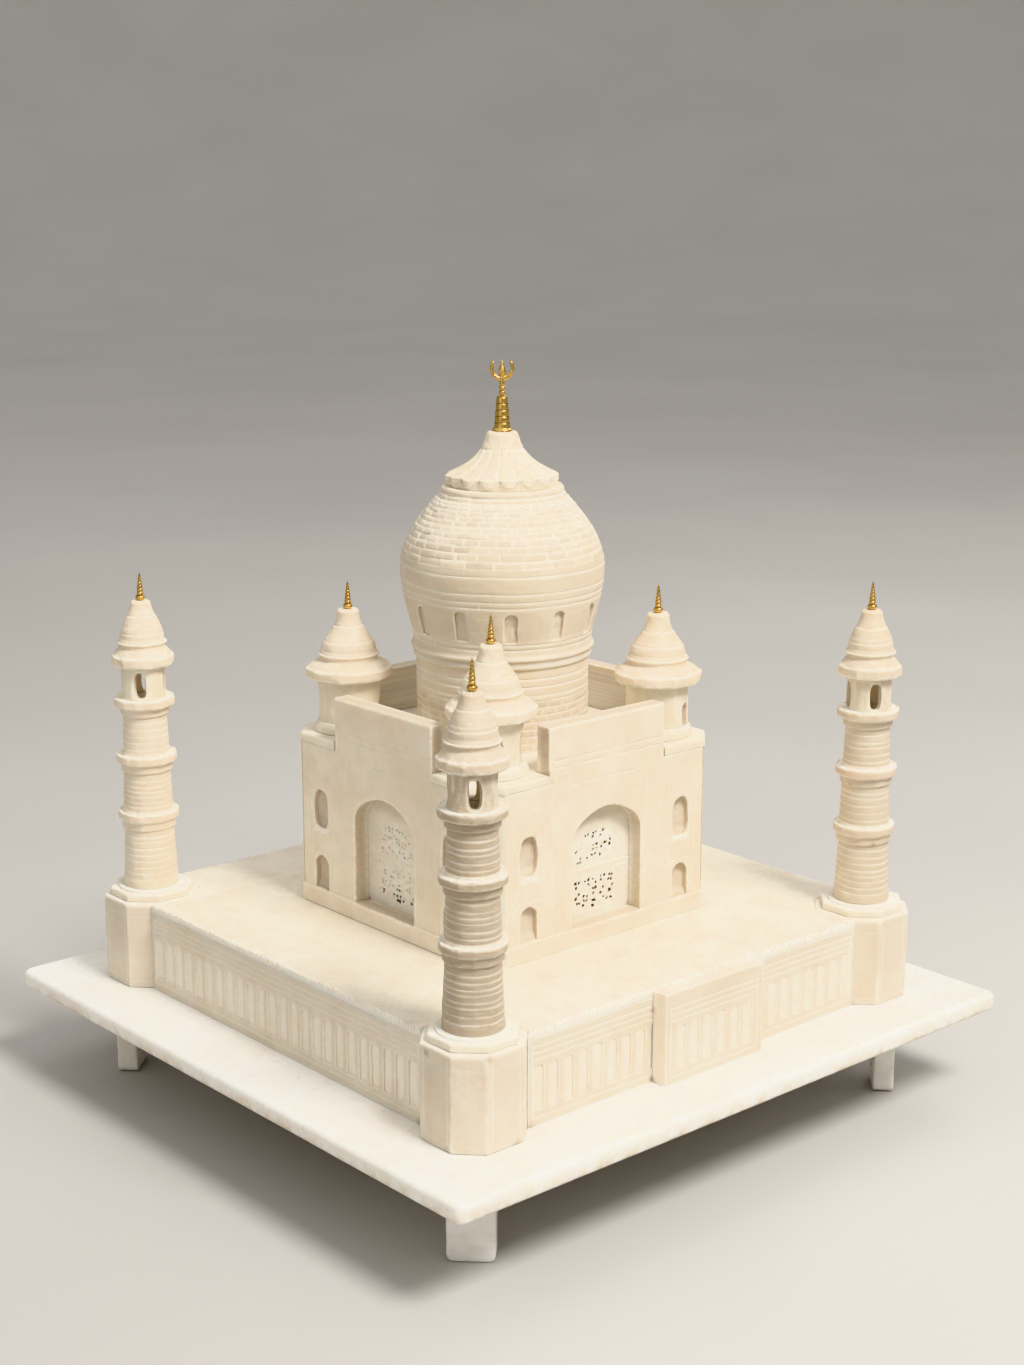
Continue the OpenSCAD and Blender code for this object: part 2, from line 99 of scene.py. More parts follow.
slab_low, slab_high = mm_box("base_slab")
SLAB_HALF = slab_high[0]
Z_SLAB, Z_PLINTH = slab_low[2], slab_high[2]
deck_low, deck_high = mm_box("plinth_deck")
PLINTH_HALF = deck_high[0]
Z_DECK_LOW, Z_DECK = deck_low[2], deck_high[2]
PLINTH_WALL = 6.0
bastion_low, bastion_high = mm_box("bastion_front_right")
BASTION_AT = (bastion_low[0] + bastion_high[0]) / 2
BASTION_HALF = (bastion_high[0] - bastion_low[0]) / 2
BASTION_CUT = 9.5
facade_high = mm_box("facade_front")[1]
WALL_RUN = facade_high[0]
WALL_INNER = -facade_high[1]
BAND_OUT, WALL_T = 0.9, 7.5
WALL_HALF = WALL_INNER + WALL_T
Z_PORTAL = facade_high[2]
roof_low, roof_high = mm_box("roof_plate")
Z_ROOF_LOW, Z_ROOF = roof_low[2], roof_high[2]
BAND_H = 7.7
PORTAL_HALF = 32.0
ARCH_HALF, ARCH_H, ARCH_RISE = 19.5, 49.0, 13.0
WINDOW_AT, WINDOW_W = 43.0, 9.5
WINDOWS = ((9.0, 13.3), (35.2, 16.6))  # height of the sill above the deck, height of the window
JALI_T = 2.5
minaret_low, minaret_high = mm_box("minaret_front_right")
SPIGOT_R, SPIGOT_L = 6.0, 14.0
Z_MINARET, Z_LANTERN_TOP = minaret_low[2] + SPIGOT_L, minaret_high[2]
BALCONY_R = (minaret_high[0] - minaret_low[0]) / 2
BALCONIES = (25.8, 51.3, 76.2)
BALCONY_H, FLOOR_DROP = 8.2, 0.5
LANTERN_TURNS = (-125, -122, 48, -131)
LANTERN_WALL = 2.4
MINARET_TOP_R = 9.4
KIOSK_AT = 46.5
KIOSK_R = 13.2
KIOSK_CUTS = ((-135, 12, 14.5), (-158, 5.5, 10), (20, 5.5, 10), (-132, 5.5, 10))
WELL_R, LAMP_R, DRUM_HOLE_R = 45.0, 20.0, 33.05
FIT = 0.05  # play round a spigot in its hole


# ---------------------------------------------------------------- noise and carving patterns

def hashed(x, y, z, seed):
    """A fixed number from 0 to 1 for each point of a whole-number lattice."""
    h = (x * 374761393 + y * 668265263 + z * 1440662683 + seed * 974634777) & 0xFFFFFFFF
    h = ((h ^ (h >> 13)) * 1274126177) & 0xFFFFFFFF
    return ((h ^ (h >> 16)) & 0xFFFFFF) / 0xFFFFFF


def smooth_noise(p, seed):
    """Smooth noise from -1 to 1 at points p, with one lump to a unit."""
    cell = np.floor(p)
    t = p - cell
    t = t * t * (3 - 2 * t)
    cell = cell.astype(np.int64)
    total = 0
    for dx in (0, 1):
        for dy in (0, 1):
            for dz in (0, 1):
                weight = (t[..., 0] if dx else 1 - t[..., 0]) * (t[..., 1] if dy else 1 - t[..., 1])
                weight = weight * (t[..., 2] if dz else 1 - t[..., 2])
                total = total + weight * hashed(
                    cell[..., 0] + dx, cell[..., 1] + dy, cell[..., 2] + dz, seed)
    return 2 * total - 1


def rough(points, size, seed=0, octaves=3):
    """Layered noise from about -1 to 1, whose largest lumps are size millimetres."""
    total = 0
    for k in range(octaves):
        total = total + smooth_noise(points / size * 2 ** k + 17.3 * k, seed + k) * 0.5 ** k
    return total / 1.4


def unit(value):
    """The value kept between 0 and 1."""
    return np.clip(value, 0, 1)


def points_of(u, v, w=0.0):
    """Points (u, v, w), at which noise is taken over a flat face."""
    return np.stack(np.broadcast_arrays(u, v, w), -1)


def polar(r, angle, z, axis=(0, 0)):
    """Points at a radius, an angle and a height round an upright axis."""
    return np.stack(np.broadcast_arrays(axis[0] + r * np.cos(angle), axis[1] + r * np.sin(angle), z), -1)


def groove(distance, width):
    """1 in the middle of a carved line, falling to 0 at its edges."""
    return unit(1.35 * (1 - 2 * np.abs(distance) / width))


def nearest(value, lines):
    """Signed distance to the nearest of the lines."""
    gaps = value[..., None] - np.asarray(lines, float)
    best = np.abs(gaps).argmin(-1)
    return np.take_along_axis(gaps, best[..., None], -1)[..., 0]


def brickwork(angle, height, lines, radius, number, seed):
    """Joints and tints of brick courses round a turned piece, between the heights in lines.
    number: about how many bricks there are in each course, from the lowest up."""
    lines = np.asarray(lines, float)
    course = np.searchsorted(lines, height) - 1
    built = (course >= 0) & (course < len(lines) - 1)
    course = np.clip(course, 0, len(lines) - 2)
    middle = (lines[course] + lines[course + 1]) / 2
    shift = hashed(course, 0, 0, seed)
    count = np.asarray(number)[np.minimum(course, len(number) - 1)] + (course * 7 + seed) % 3
    place = angle / TURN * count + shift
    brick = np.floor(place).astype(np.int64) % count
    wobble = 0.1 * (hashed(brick, course, 0, seed + 1) - 0.5)
    within = place - np.floor(place)
    side = np.minimum(np.abs(within - wobble), np.abs(1 - within)) * TURN * radius(middle) / count
    bed = np.minimum(height - lines[course], lines[course + 1] - height)
    joint = np.maximum(groove(side, 0.95), groove(bed, 0.8)) * built
    tint = hashed(brick, course, 5, seed) * built
    lift = (hashed(brick, course, 9, seed) - 0.5) * built
    return joint, tint, lift


# ---------------------------------------------------------------- outlines

def arc(centre, r, start, end, count):
    """Points of an arc, angles in degrees."""
    angles = np.radians(np.linspace(start, end, count + 1))
    return [(centre[0] + r * math.cos(a), centre[1] + r * math.sin(a)) for a in angles]


def arch(half, height, rise, at=(0, 0), count=24, tip=0.12):
    """Opening with straight sides and a slightly pointed flat head, its sill's middle at the point at."""
    head = []
    for a in np.linspace(0, math.pi, count + 1):
        bend = (1 - tip) * math.sin(a) + tip * (1 - abs(math.cos(a)))
        head.append((half * math.cos(a), height - rise + rise * bend))
    return np.array([(-half, 0), (half, 0)] + head) + np.array(at)


def closed_dense(corners, step):
    """A closed outline with points added, so that no two are more than step apart."""
    corners = np.asarray(corners, float)
    return subdivide(corners, edge_counts(corners, step))


def edge_counts(corners, step):
    lengths = np.linalg.norm(np.roll(corners, -1, 0) - corners, axis=1)
    return np.maximum(1, np.ceil(lengths / step)).astype(int)


def subdivide(corners, counts):
    """Each edge of a closed outline cut into its count of equal parts."""
    following = np.roll(corners, -1, 0)
    return np.concatenate([
        corners[k] + (following[k] - corners[k]) * np.arange(n)[:, None] / n for k, n in enumerate(counts)])


def offset(corners, inset):
    """A closed outline drawn in by inset, with its corners mitred. It runs anticlockwise."""
    before = corners - np.roll(corners, 1, 0)
    after = np.roll(corners, -1, 0) - corners
    a = np.stack([-before[:, 1], before[:, 0]], 1) / np.linalg.norm(before, axis=1)[:, None]
    b = np.stack([-after[:, 1], after[:, 0]], 1) / np.linalg.norm(after, axis=1)[:, None]
    return corners + inset * (a + b) / (1 + (a * b).sum(1))[:, None]


def soften(outline, radius=0.4):
    """An open outline whose clear corners are rounded."""
    points = [np.array(p, float) for p in outline]
    result = [points[0]]
    for before, corner, after in zip(points, points[1:], points[2:]):
        one, two = before - corner, after - corner
        long_one, long_two = np.linalg.norm(one), np.linalg.norm(two)
        turn = math.acos(np.clip(-(one @ two) / (long_one * long_two), -1, 1))
        if turn < math.radians(25):
            result.append(corner)
            continue
        r = min(radius, long_one / 2.2, long_two / 2.2)
        start, end = corner + one / long_one * r, corner + two / long_two * r
        result += [(1 - t) ** 2 * start + 2 * t * (1 - t) * corner + t * t * end for t in (0, 0.33, 0.67, 1)]
    return np.array(result + [points[-1]])


def dense(outline, step):
    """An open outline with points added, so that no two are more than step apart."""
    result = [outline[0]]
    for p, q in zip(outline, outline[1:]):
        n = max(1, math.ceil(np.linalg.norm(q - p) / step))
        result += [p + (q - p) * k / n for k in range(1, n + 1)]
    return np.array(result)


def inside(outline, u, v):
    """Which of the points (u, v) lie inside a closed outline."""
    result = np.zeros(u.shape, bool)
    near = ((u > outline[:, 0].min()) & (u < outline[:, 0].max())
            & (v > outline[:, 1].min()) & (v < outline[:, 1].max()))
    x, y = u[near][:, None], v[near][:, None]
    x1, y1 = outline[:, 0], outline[:, 1]
    x2, y2 = np.roll(x1, -1), np.roll(y1, -1)
    crosses = (y1 > y) != (y2 > y)
    meets = (x2 - x1) * (y - y1) / np.where(y2 == y1, 1, y2 - y1) + x1
    result[near] = (crosses & (x < meets)).sum(1) % 2 == 1
    return result


def hand_cut(outline, amount, seed, size=3.0):
    """A closed outline made slightly uneven, as cut by hand."""
    outline = closed_dense(outline, 0.35)
    flat = np.column_stack([outline, np.full(len(outline), seed * 7.7)])
    shift = np.stack([rough(flat, size, seed, 2), rough(flat, size, seed + 40, 2)], 1)
    return outline + amount * shift


def oval(half, height, at, seed, amount=0.3):
    """Outline of a hand-cut opening: round head, bulging sides and rounded lower corners."""
    angle = np.linspace(-math.pi / 2, 1.5 * math.pi, 56, endpoint=False)
    across, up = np.cos(angle), np.sin(angle)
    x = half * np.sign(across) * np.abs(across) ** 0.6
    z = height / 2 * (1 + np.sign(up) * np.abs(up) ** np.where(up > 0, 0.95, 0.65))
    return hand_cut(np.stack([x, z], 1) + np.array(at), amount, seed, 4)


def spread(stops, step):
    """Grid lines at the stops and at most step apart between them."""
    stops = sorted(set(round(float(s), 4) for s in stops))
    lines = [stops[0]]
    for a, b in zip(stops, stops[1:]):
        n = max(1, math.ceil((b - a) / step - 0.01))
        lines += [a + (b - a) * k / n for k in range(1, n + 1)]
    return np.array(lines)


def line_stops(lines, half=0.35):
    """Grid lines that hold a carved line: its middle and its two edges."""
    return [line + d for line in lines for d in (-half, 0, half)]


# ---------------------------------------------------------------- pieces made from grids of points

class Carving:
    """The points, faces and masks of one piece while it is being made, in millimetres."""

    def __init__(self):
        self.points, self.masks, self.quads, self.triangles = [], [], [], []
        self.count = 0

    def add(self, points, faces, masks=None):
        """Adds points with their faces, and masks as a dictionary of numbers or arrays."""
        points = np.asarray(points, float).reshape(-1, 3)
        faces = np.asarray(faces, np.int64)
        used = np.unique(faces)
        place = np.full(len(points), -1)
        place[used] = np.arange(len(used)) + self.count
        table = np.zeros((len(points), len(MASKS)))
        for name, value in (masks or {}).items():
            table[:, MASKS.index(name)] = np.broadcast_to(np.ravel(value), len(points))
        self.points.append(points[used])
        self.masks.append(table[used])
        (self.quads if faces.shape[1] == 4 else self.triangles).append(place[faces])
        self.count += len(used)

    def rings(self, points, masks=None):
        """Joins each ring of points (rings, around, 3) to the next."""
        index = np.arange(points.shape[0] * points.shape[1]).reshape(points.shape[:2])
        low, high = index[:-1], index[1:]
        faces = np.stack([low, np.roll(low, -1, 1), np.roll(high, -1, 1), high], -1)
        self.add(points, faces.reshape(-1, 4), masks)

    def cap(self, loops, masks=None):
        """Fills a flat face between its outer loop and its holes."""
        faces = tessellate_polygon([[Vector(p) for p in loop] for loop in loops])
        self.add(np.concatenate(loops), np.array(faces), masks)


def round_rings(outline, angle, low=0.0):
    """Rings round the middle axis, one for each (radius, z) of the outline, raised by low."""
    return np.array([polar(r, angle, low + z) for r, z in outline])


def normals_of(points):
    """Outward directions of rings of points that run round a piece from its bottom to its top."""
    around = np.roll(points, -1, 1) - np.roll(points, 1, 1)
    up = np.gradient(points, axis=0)
    normal = np.cross(around, up)
    length = np.linalg.norm(normal, axis=-1, keepdims=True)
    return np.where(length > 1e-6, normal / np.maximum(length, 1e-6), 0)


def turned(carving, outline, axis, around, shape, step=0.5):
    """A turned piece. outline: (radius, z) from the bottom of the axis up to its top, or a closed hollow
    section. shape(angle, r, z, points) gives how far each point is pushed outwards, and its masks."""
    line = dense(outline, step)
    angle = np.arange(around) * TURN / around
    r, z = line[:, :1], line[:, 1:]
    points = polar(r, angle, z, axis)
    angle, r, z = np.broadcast_arrays(angle[None], r, z)
    amount, masks = shape(angle, r, z, points)
    carving.rings(points + normals_of(points) * (amount * unit(r / 2))[..., None], masks)


def block_sides(corners, profile, step, shape):
    """Rings of points up the sides of a block, pushed outwards by shape(points, outward, along), and their
    masks. corners: its closed outline. profile: (inset, z) from its bottom to its top."""
    counts = edge_counts(corners, step)
    rings = np.array([np.column_stack([subdivide(offset(corners, inset), counts),
                                       np.full(counts.sum(), z)]) for inset, z in profile])
    flat = subdivide(corners, counts)
    direction = np.roll(flat, -1, 0) - np.roll(flat, 1, 0)
    outward = np.stack([direction[:, 1], -direction[:, 0]], 1)
    outward /= np.linalg.norm(outward, axis=1)[:, None]
    along = np.concatenate([[0], np.cumsum(np.linalg.norm(np.diff(flat, axis=0), axis=1))])
    amount, masks = shape(rings, outward, along)
    rings[..., :2] += outward * amount[..., None]
    return rings, masks


def prism(carving, corners, profile, step, holes, shape, place=None, step_z=None):
    """A block whose sides are made by block_sides, with holes right through, given by their outlines.
    place(points) moves it from where it is drawn. step_z: greatest step up its sides."""
    corners = np.asarray(corners, float)
    if step_z:
        profile = dense(np.array(profile, float), step_z)
    rings, masks = block_sides(corners, profile, step, shape)
    hole_rings = []
    for hole in holes:
        hole = np.asarray(hole, float)
        low, high = profile[0][1], profile[-1][1]
        hole_rings.append(np.array([
            np.column_stack([offset(hole, -inset), np.full(len(hole), z)])
            for inset, z in ((0.4, low), (0, low + 0.4), (0, high - 0.4), (0.4, high))]))
    move = place or (lambda p: p)
    carving.rings(move(rings), masks)
    for hole in hole_rings:
        carving.rings(move(hole))
    for end in (0, -1):
        carving.cap([move(ring[end]) for ring in [rings] + hole_rings])


def sheet(carving, us, vs, label, rims, place, relief, thick, pocket=0.0, wrap=None, edge=0.3, back="fill",
          ends=True, hole_masks=None, floor_masks=None):
    """A plate with carved front, openings and blind niches.

    us, vs: grid lines, and wrap the length round a closed plate. label: a rule made by cells_of.
    rims: outlines that the ragged edges of openings are drawn on to. place(u, v, depth): points.
    relief(u, v): depth of the carved front, and its masks. pocket: depth of the niches, or its rule.
    thick: thickness, or None for a front alone. edge: how far the edges of openings are worn back.
    back: how the back is made, as one face (fill) or from the cells of the front (grid)."""
    n_u, n_v = len(us), len(vs)
    u, v = (g.ravel().copy() for g in np.meshgrid(us, vs, indexing="ij"))
    span = n_u if wrap else n_u - 1
    i, j = (g.ravel() for g in np.meshgrid(np.arange(span), np.arange(n_v - 1), indexing="ij"))
    right = (i + 1) % n_u
    next_u = np.append(us[1:], us[0] + (wrap or 0))
    kind = label((us[i] + next_u[i]) / 2, (vs[j] + vs[j + 1]) / 2)
    cells = np.stack([i * n_v + j, right * n_v + j, right * n_v + j + 1, i * n_v + j + 1], -1)
    total = n_u * n_v

    def directed(some):
        return np.concatenate([some[:, [k, (k + 1) % 4]] for k in range(4)])

    def lonely(some):
        """Edges of some cells that no other of these cells shares."""
        edges = directed(some)
        return edges[~np.isin(edges[:, 1] * total + edges[:, 0], edges[:, 0] * total + edges[:, 1])]

    stone, niche = cells[kind == 1], cells[kind == 2]
    edges = lonely(stone)
    if rims:
        rim = np.unique(edges)
        targets = np.concatenate([closed_dense(r, 0.12) for r in rims])
        reach = 0.8 * max(np.diff(us).max(), np.diff(vs).max())
        for start in range(0, len(rim), 400):
            part = rim[start:start + 400]
            gap = np.hypot(u[part, None] - targets[:, 0], v[part, None] - targets[:, 1])
            best = gap.argmin(1)
            close = gap[np.arange(len(part)), best] < reach
            u[part[close]] = targets[best[close], 0]
            v[part[close]] = targets[best[close], 1]
    depth, masks = relief(u, v)
    depth = depth + np.zeros(total)
    on_edge = np.zeros(total, bool)
    if not ends:
        low_or_high = (np.arange(total) % n_v == 0) | (np.arange(total) % n_v == n_v - 1)
        edges = edges[~(low_or_high[edges].all(1))]
    on_edge[edges.ravel()] = True
    depth[on_edge] += edge
    carving.add(place(u, v, depth), stone, masks)

    def wall(some, bottom, rows, masks):
        """Steps from the front edge down to the depth bottom."""
        if len(some) == 0:
            return
        ids = np.unique(some)
        where = np.full(total, -1)
        where[ids] = np.arange(len(ids))
        fall = np.broadcast_to(bottom, total)[ids] - depth[ids]
        levels = [depth[ids]] + [depth[ids] + fall * t for t in rows]
        blocks = []
        for k, level in enumerate(levels):
            flat = points_of(u[ids], v[ids], level * 3 + 31 * k)
            loose = 0.1 if 0 < k < len(levels) - 1 else 0
            blocks.append(place(u[ids] + loose * rough(flat, 1.5, 5, 2),
                                v[ids] + loose * rough(flat, 1.5, 9, 2), level))
        pairs = where[some]
        faces = np.concatenate([
            np.stack([pairs[:, 1] + k * len(ids), pairs[:, 0] + k * len(ids),
                      pairs[:, 0] + (k + 1) * len(ids), pairs[:, 1] + (k + 1) * len(ids)], -1)
            for k in range(len(levels) - 1)])
        carving.add(np.concatenate(blocks), faces, masks)

    if len(niche):
        niche_edges = directed(niche)
        keys = niche_edges[:, 1] * total + niche_edges[:, 0]
        to_niche = np.isin(edges[:, 0] * total + edges[:, 1], keys)
        floor = np.zeros(total) + (pocket(u, v) if callable(pocket) else pocket)
        wall(edges[to_niche], floor.copy(), (0.15, 0.45, 0.75, 1), floor_masks or {"cut": 0.3})
        inner = np.setdiff1d(np.unique(niche), np.unique(edges[to_niche]))
        floor[inner] += 0.22 * rough(points_of(u[inner], v[inner]), 1.6, 3, 2)
        carving.add(place(u, v, floor), niche, floor_masks or {"cut": 0.3})
        edges = edges[~to_niche]
    if thick is None:
        return
    wall(edges, thick, (0.06, 0.3, 0.65, 1), hole_masks or {"cut": 0.3})
    if back == "grid":
        carving.add(place(u, v, np.full(total, float(thick))), cells[kind > 0], {"cut": 0.2})
    else:
        follow = dict(lonely(cells[kind > 0]).tolist())
        loops = []
        while follow:
            start, point = follow.popitem()
            loop = [start]
            while point != start:
                loop.append(point)
                point = follow.pop(point)
            loops.append(loop)
        loops.sort(key=lambda ring: -(np.ptp(u[ring]) + np.ptp(v[ring])))
        carving.cap([place(u[ring], v[ring], np.full(len(ring), float(thick))) for ring in loops])


def cells_of(openings, niches=(), beyond=None):
    """A rule for the cells of a sheet: 1 stone, 0 open, 2 niche. beyond(u, v): what is outside the plate."""
    def label(u, v):
        kind = np.ones(u.shape, int)
        if beyond:
            kind[beyond(u, v)] = 0
        for outline in openings:
            kind[inside(outline, u, v)] = 0
        for outline in niches:
            kind[inside(outline, u, v)] = 2
        return kind
    return label


# Small dark stains where pieces are glued: their place, their radius and their strength
STAINS = []


def stain_mask(points):
    """How strongly each point is stained by the glue and dirt of STAINS."""
    result = np.zeros(len(points))
    lumps = rough(points, 2.5, 71, 3)
    for x, y, z, radius, strength in STAINS:
        gap = np.linalg.norm(points - (x, y, z), axis=1) / radius
        result = np.maximum(result, strength * unit(1.25 - gap + 0.5 * lumps))
    return result


def new_object(name, data):
    """An object linked to the scene."""
    thing = bpy.data.objects.new(name, data)
    bpy.context.scene.collection.objects.link(thing)
    return thing


def make_piece(carving, node, material, sharp=48):
    """Turns a carving into the object that stands for its CAD node."""
    points = np.concatenate(carving.points)
    masks = np.concatenate(carving.masks)
    masks[:, 1] = np.maximum(masks[:, 1], stain_mask(points))
    faces = [q for block in carving.quads + carving.triangles for q in block.tolist()]
    mesh = bpy.data.meshes.new(node + "_carved")
    mesh.from_pydata(points * MM, [], faces)
    for k, name in enumerate(MASKS):
        mesh.attributes.new(name, "FLOAT", "POINT").data.foreach_set("value", masks[:, k])
    solid = bmesh.new()
    solid.from_mesh(mesh)
    bmesh.ops.remove_doubles(solid, verts=solid.verts, dist=1e-7)
    bmesh.ops.recalc_face_normals(solid, faces=solid.faces)
    solid.to_mesh(mesh)
    solid.free()
    mesh.shade_smooth()
    mesh.set_sharp_from_angle(angle=math.radians(sharp))
    mesh.materials.append(material)
    piece = new_object(node + "_carved", mesh)
    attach(piece, frame["nodes"][node]["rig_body"])
    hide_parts(node)


# ---------------------------------------------------------------- materials

class Shader:
    """A Principled material with its nodes, each added in one line."""

    def __init__(self, name, **sockets):
        self.material = bpy.data.materials.new(name)
        self.material.use_nodes = True
        self.tree = self.material.node_tree
        self.bsdf = self.tree.nodes["Principled BSDF"]
        for socket, value in sockets.items():
            self.bsdf.inputs[socket.replace("_", " ")].default_value = value
        self.where = self.add("ShaderNodeTexCoord").outputs["Object"]

    def add(self, kind, inputs=(), **settings):
        node = self.tree.nodes.new(kind)
        for key, value in settings.items():
            setattr(node, key, value)
        for key, value in dict(inputs).items():
            if isinstance(value, bpy.types.NodeSocket):
                self.tree.links.new(value, node.inputs[key])
            else:
                node.inputs[key].default_value = value
        return node

    def noise(self, size_mm, detail=3.0, stretch=(1, 1, 1)):
        """Noise from 0 to 1 whose lumps are size_mm across. stretch squeezes it along an axis."""
        where = self.where
        if stretch != (1, 1, 1):
            where = self.add("ShaderNodeMapping", {"Vector": where, "Scale": stretch}).outputs[0]
        return self.add("ShaderNodeTexNoise", {"Vector": where, "Scale": 1 / (size_mm * MM),
                                               "Detail": detail, "Roughness": 0.55}).outputs["Fac"]

    def mask(self, name):
        return self.add("ShaderNodeAttribute", attribute_name=name).outputs["Fac"]

    def ramp(self, value, low, high, start=0.0, end=1.0):
        """The value stretched from low..high to start..end."""
        return self.add("ShaderNodeMapRange", {"Value": value, "From Min": low, "From Max": high,
                                               "To Min": start, "To Max": end}).outputs[0]

    def times(self, a, b):
        return self.add("ShaderNodeMath", {0: a, 1: b}, operation="MULTIPLY").outputs[0]

    def plus(self, a, b):
        return self.add("ShaderNodeMath", {0: a, 1: b}, operation="ADD", use_clamp=True).outputs[0]

    def mix(self, factor, a, b):
        """One colour laid over another by a factor."""
        node = self.add("ShaderNodeMix", data_type="RGBA")
        for socket, value in zip((node.inputs[0], node.inputs[6], node.inputs[7]), (factor, a, b)):
            if isinstance(value, bpy.types.NodeSocket):
                self.tree.links.new(value, socket)
            else:
                socket.default_value = value
        return node.outputs[2]

    def bump(self, height, strength, distance_mm, normal=None):
        inputs = {"Height": height, "Strength": strength, "Distance": distance_mm * MM}
        if normal is not None:
            inputs["Normal"] = normal
        return self.add("ShaderNodeBump", inputs).outputs[0]

    def finish(self, colour, roughness, normal):
        self.tree.links.new(colour, self.bsdf.inputs["Base Color"])
        self.tree.links.new(roughness, self.bsdf.inputs["Roughness"])
        self.tree.links.new(normal, self.bsdf.inputs["Normal"])
        return self.material


def rgb(red, green, blue):
    return (red, green, blue, 1.0)


CHALK = rgb(0.95, 0.91, 0.83)  # freshly cut stone
SHADE = rgb(0.56, 0.43, 0.27)  # dirt, and painted shade in hollows
# dark glue and dirt; also painted shade on the walls of the screen's holes
GLUE_AND_SHADE = rgb(0.22, 0.11, 0.04)


def stone(name, pale, warm, streaks=(1, 1, 1), tiles=False):
    """Hand-carved translucent stone. streaks: how the tool marks are squeezed along X, Y and Z.
    tiles: whether faint lines of small tiles show on it."""
    s = Shader(name, Subsurface_Weight=0.35, Subsurface_Radius=(1.0, 0.6, 0.33), Subsurface_Scale=0.004,
               IOR=1.5)
    clouds = s.ramp(s.noise(24, 4), 0.38, 0.62)
    veins = s.ramp(s.noise(8, 5), 0.46, 0.72)
    grain = s.noise(0.8, 3)
    marks = s.noise(2.4, 4, streaks)
    colour = s.mix(clouds, pale, warm)
    colour = s.mix(s.times(s.ramp(s.noise(13, 3), 0.5, 0.7), 0.4), colour, rgb(0.82, 0.67, 0.57))
    colour = s.mix(s.times(veins, 0.35), colour, rgb(0.70, 0.66, 0.52))
    # tint darkens the stone: its own tone, and painted shade in recesses, openings and on the minarets
    colour = s.mix(s.times(s.mask("tint"), s.ramp(marks, 0.3, 0.6, 0.7, 1)), colour, rgb(0.45, 0.37, 0.275))
    colour = s.mix(s.times(s.mask("cut"), 0.85), colour, CHALK)
    colour = s.mix(s.times(s.ramp(marks, 0.55, 0.75), 0.2), colour, CHALK)
    worn = s.add("ShaderNodeNewGeometry").outputs["Pointiness"]
    colour = s.mix(s.times(s.ramp(worn, 0.51, 0.57), 0.5), colour, CHALK)
    # hollows, found from pointiness, are darkened: partly dirt, partly painted shade
    colour = s.mix(s.times(s.ramp(worn, 0.49, 0.42), 0.25), colour, SHADE)
    # glue stains, dirt, and painted shade on the walls of the screen's holes
    colour = s.mix(s.times(s.mask("grime"), s.ramp(grain, 0.25, 0.6, 0.4, 1)), colour, GLUE_AND_SHADE)
    roughness = s.ramp(s.plus(s.times(marks, 0.6), s.times(s.noise(4, 3), 0.5)), 0.3, 0.8, 0.36, 0.62)
    normal = s.bump(grain, 0.3, 0.14)
    normal = s.bump(marks, 0.45, 0.3, normal)
    if tiles:
        bricks = s.add("ShaderNodeTexBrick", {
            "Vector": s.where, "Scale": 1000.0, "Mortar Size": 0.26, "Mortar Smooth": 0.6,
            "Brick Width": 4.4, "Row Height": 2.2}, offset=0.5).outputs["Fac"]
        patchy = s.times(bricks, s.ramp(s.noise(18, 3), 0.3, 0.6, 0.25, 1))
        colour = s.mix(s.times(patchy, 0.3), colour, rgb(0.66, 0.57, 0.43))
        normal = s.bump(patchy, -0.6, 0.3, normal)
    return s.finish(colour, roughness, normal)


def slab_stone():
    """The sawn and polished marble of the slab and its feet."""
    s = Shader("slab_marble", Subsurface_Weight=0.35, Subsurface_Radius=(1.0, 0.7, 0.42),
               Subsurface_Scale=0.005, IOR=1.5, Coat_Weight=0.15, Coat_Roughness=0.2)
    clouds = s.ramp(s.noise(34, 6), 0.42, 0.66)
    crystals = s.noise(1.6, 4)
    colour = s.mix(clouds, rgb(0.95, 0.94, 0.905), rgb(0.88, 0.86, 0.80))
    colour = s.mix(s.times(s.ramp(s.noise(9, 6), 0.52, 0.72), 0.3), colour, rgb(0.74, 0.70, 0.62))
    colour = s.mix(s.times(s.ramp(crystals, 0.52, 0.7), 0.3), colour, rgb(0.92, 0.90, 0.85))
    # here the cut mask makes the slab darker and yellower low on its sides, and the feet a little darker
    colour = s.mix(s.times(s.mask("cut"), s.ramp(s.noise(6, 4), 0.4, 0.65)), colour, rgb(0.66, 0.53, 0.34))
    colour = s.mix(s.mask("grime"), colour, GLUE_AND_SHADE)
    roughness = s.ramp(s.noise(3.5, 4), 0.3, 0.7, 0.24, 0.46)
    normal = s.bump(crystals, 0.12, 0.1)
    normal = s.bump(s.noise(14, 3), 0.2, 0.3, normal)
    return s.finish(colour, roughness, normal)


def brass():
    """Polished brass with a little tarnish in its grooves."""
    s = Shader("brass", Metallic=1.0)
    tarnish = s.ramp(s.noise(2.2, 4), 0.42, 0.72)
    colour = s.mix(s.times(tarnish, 0.7), rgb(0.76, 0.53, 0.19), rgb(0.42, 0.27, 0.10))
    colour = s.mix(s.times(s.mask("cut"), 0.8), colour, rgb(0.25, 0.14, 0.05))
    roughness = s.ramp(s.noise(1.1, 3), 0.3, 0.7, 0.2, 0.42)
    lathe_lines = s.noise(0.5, 2, (1, 1, 5))
    return s.finish(colour, roughness, s.bump(lathe_lines, 0.12, 0.05))


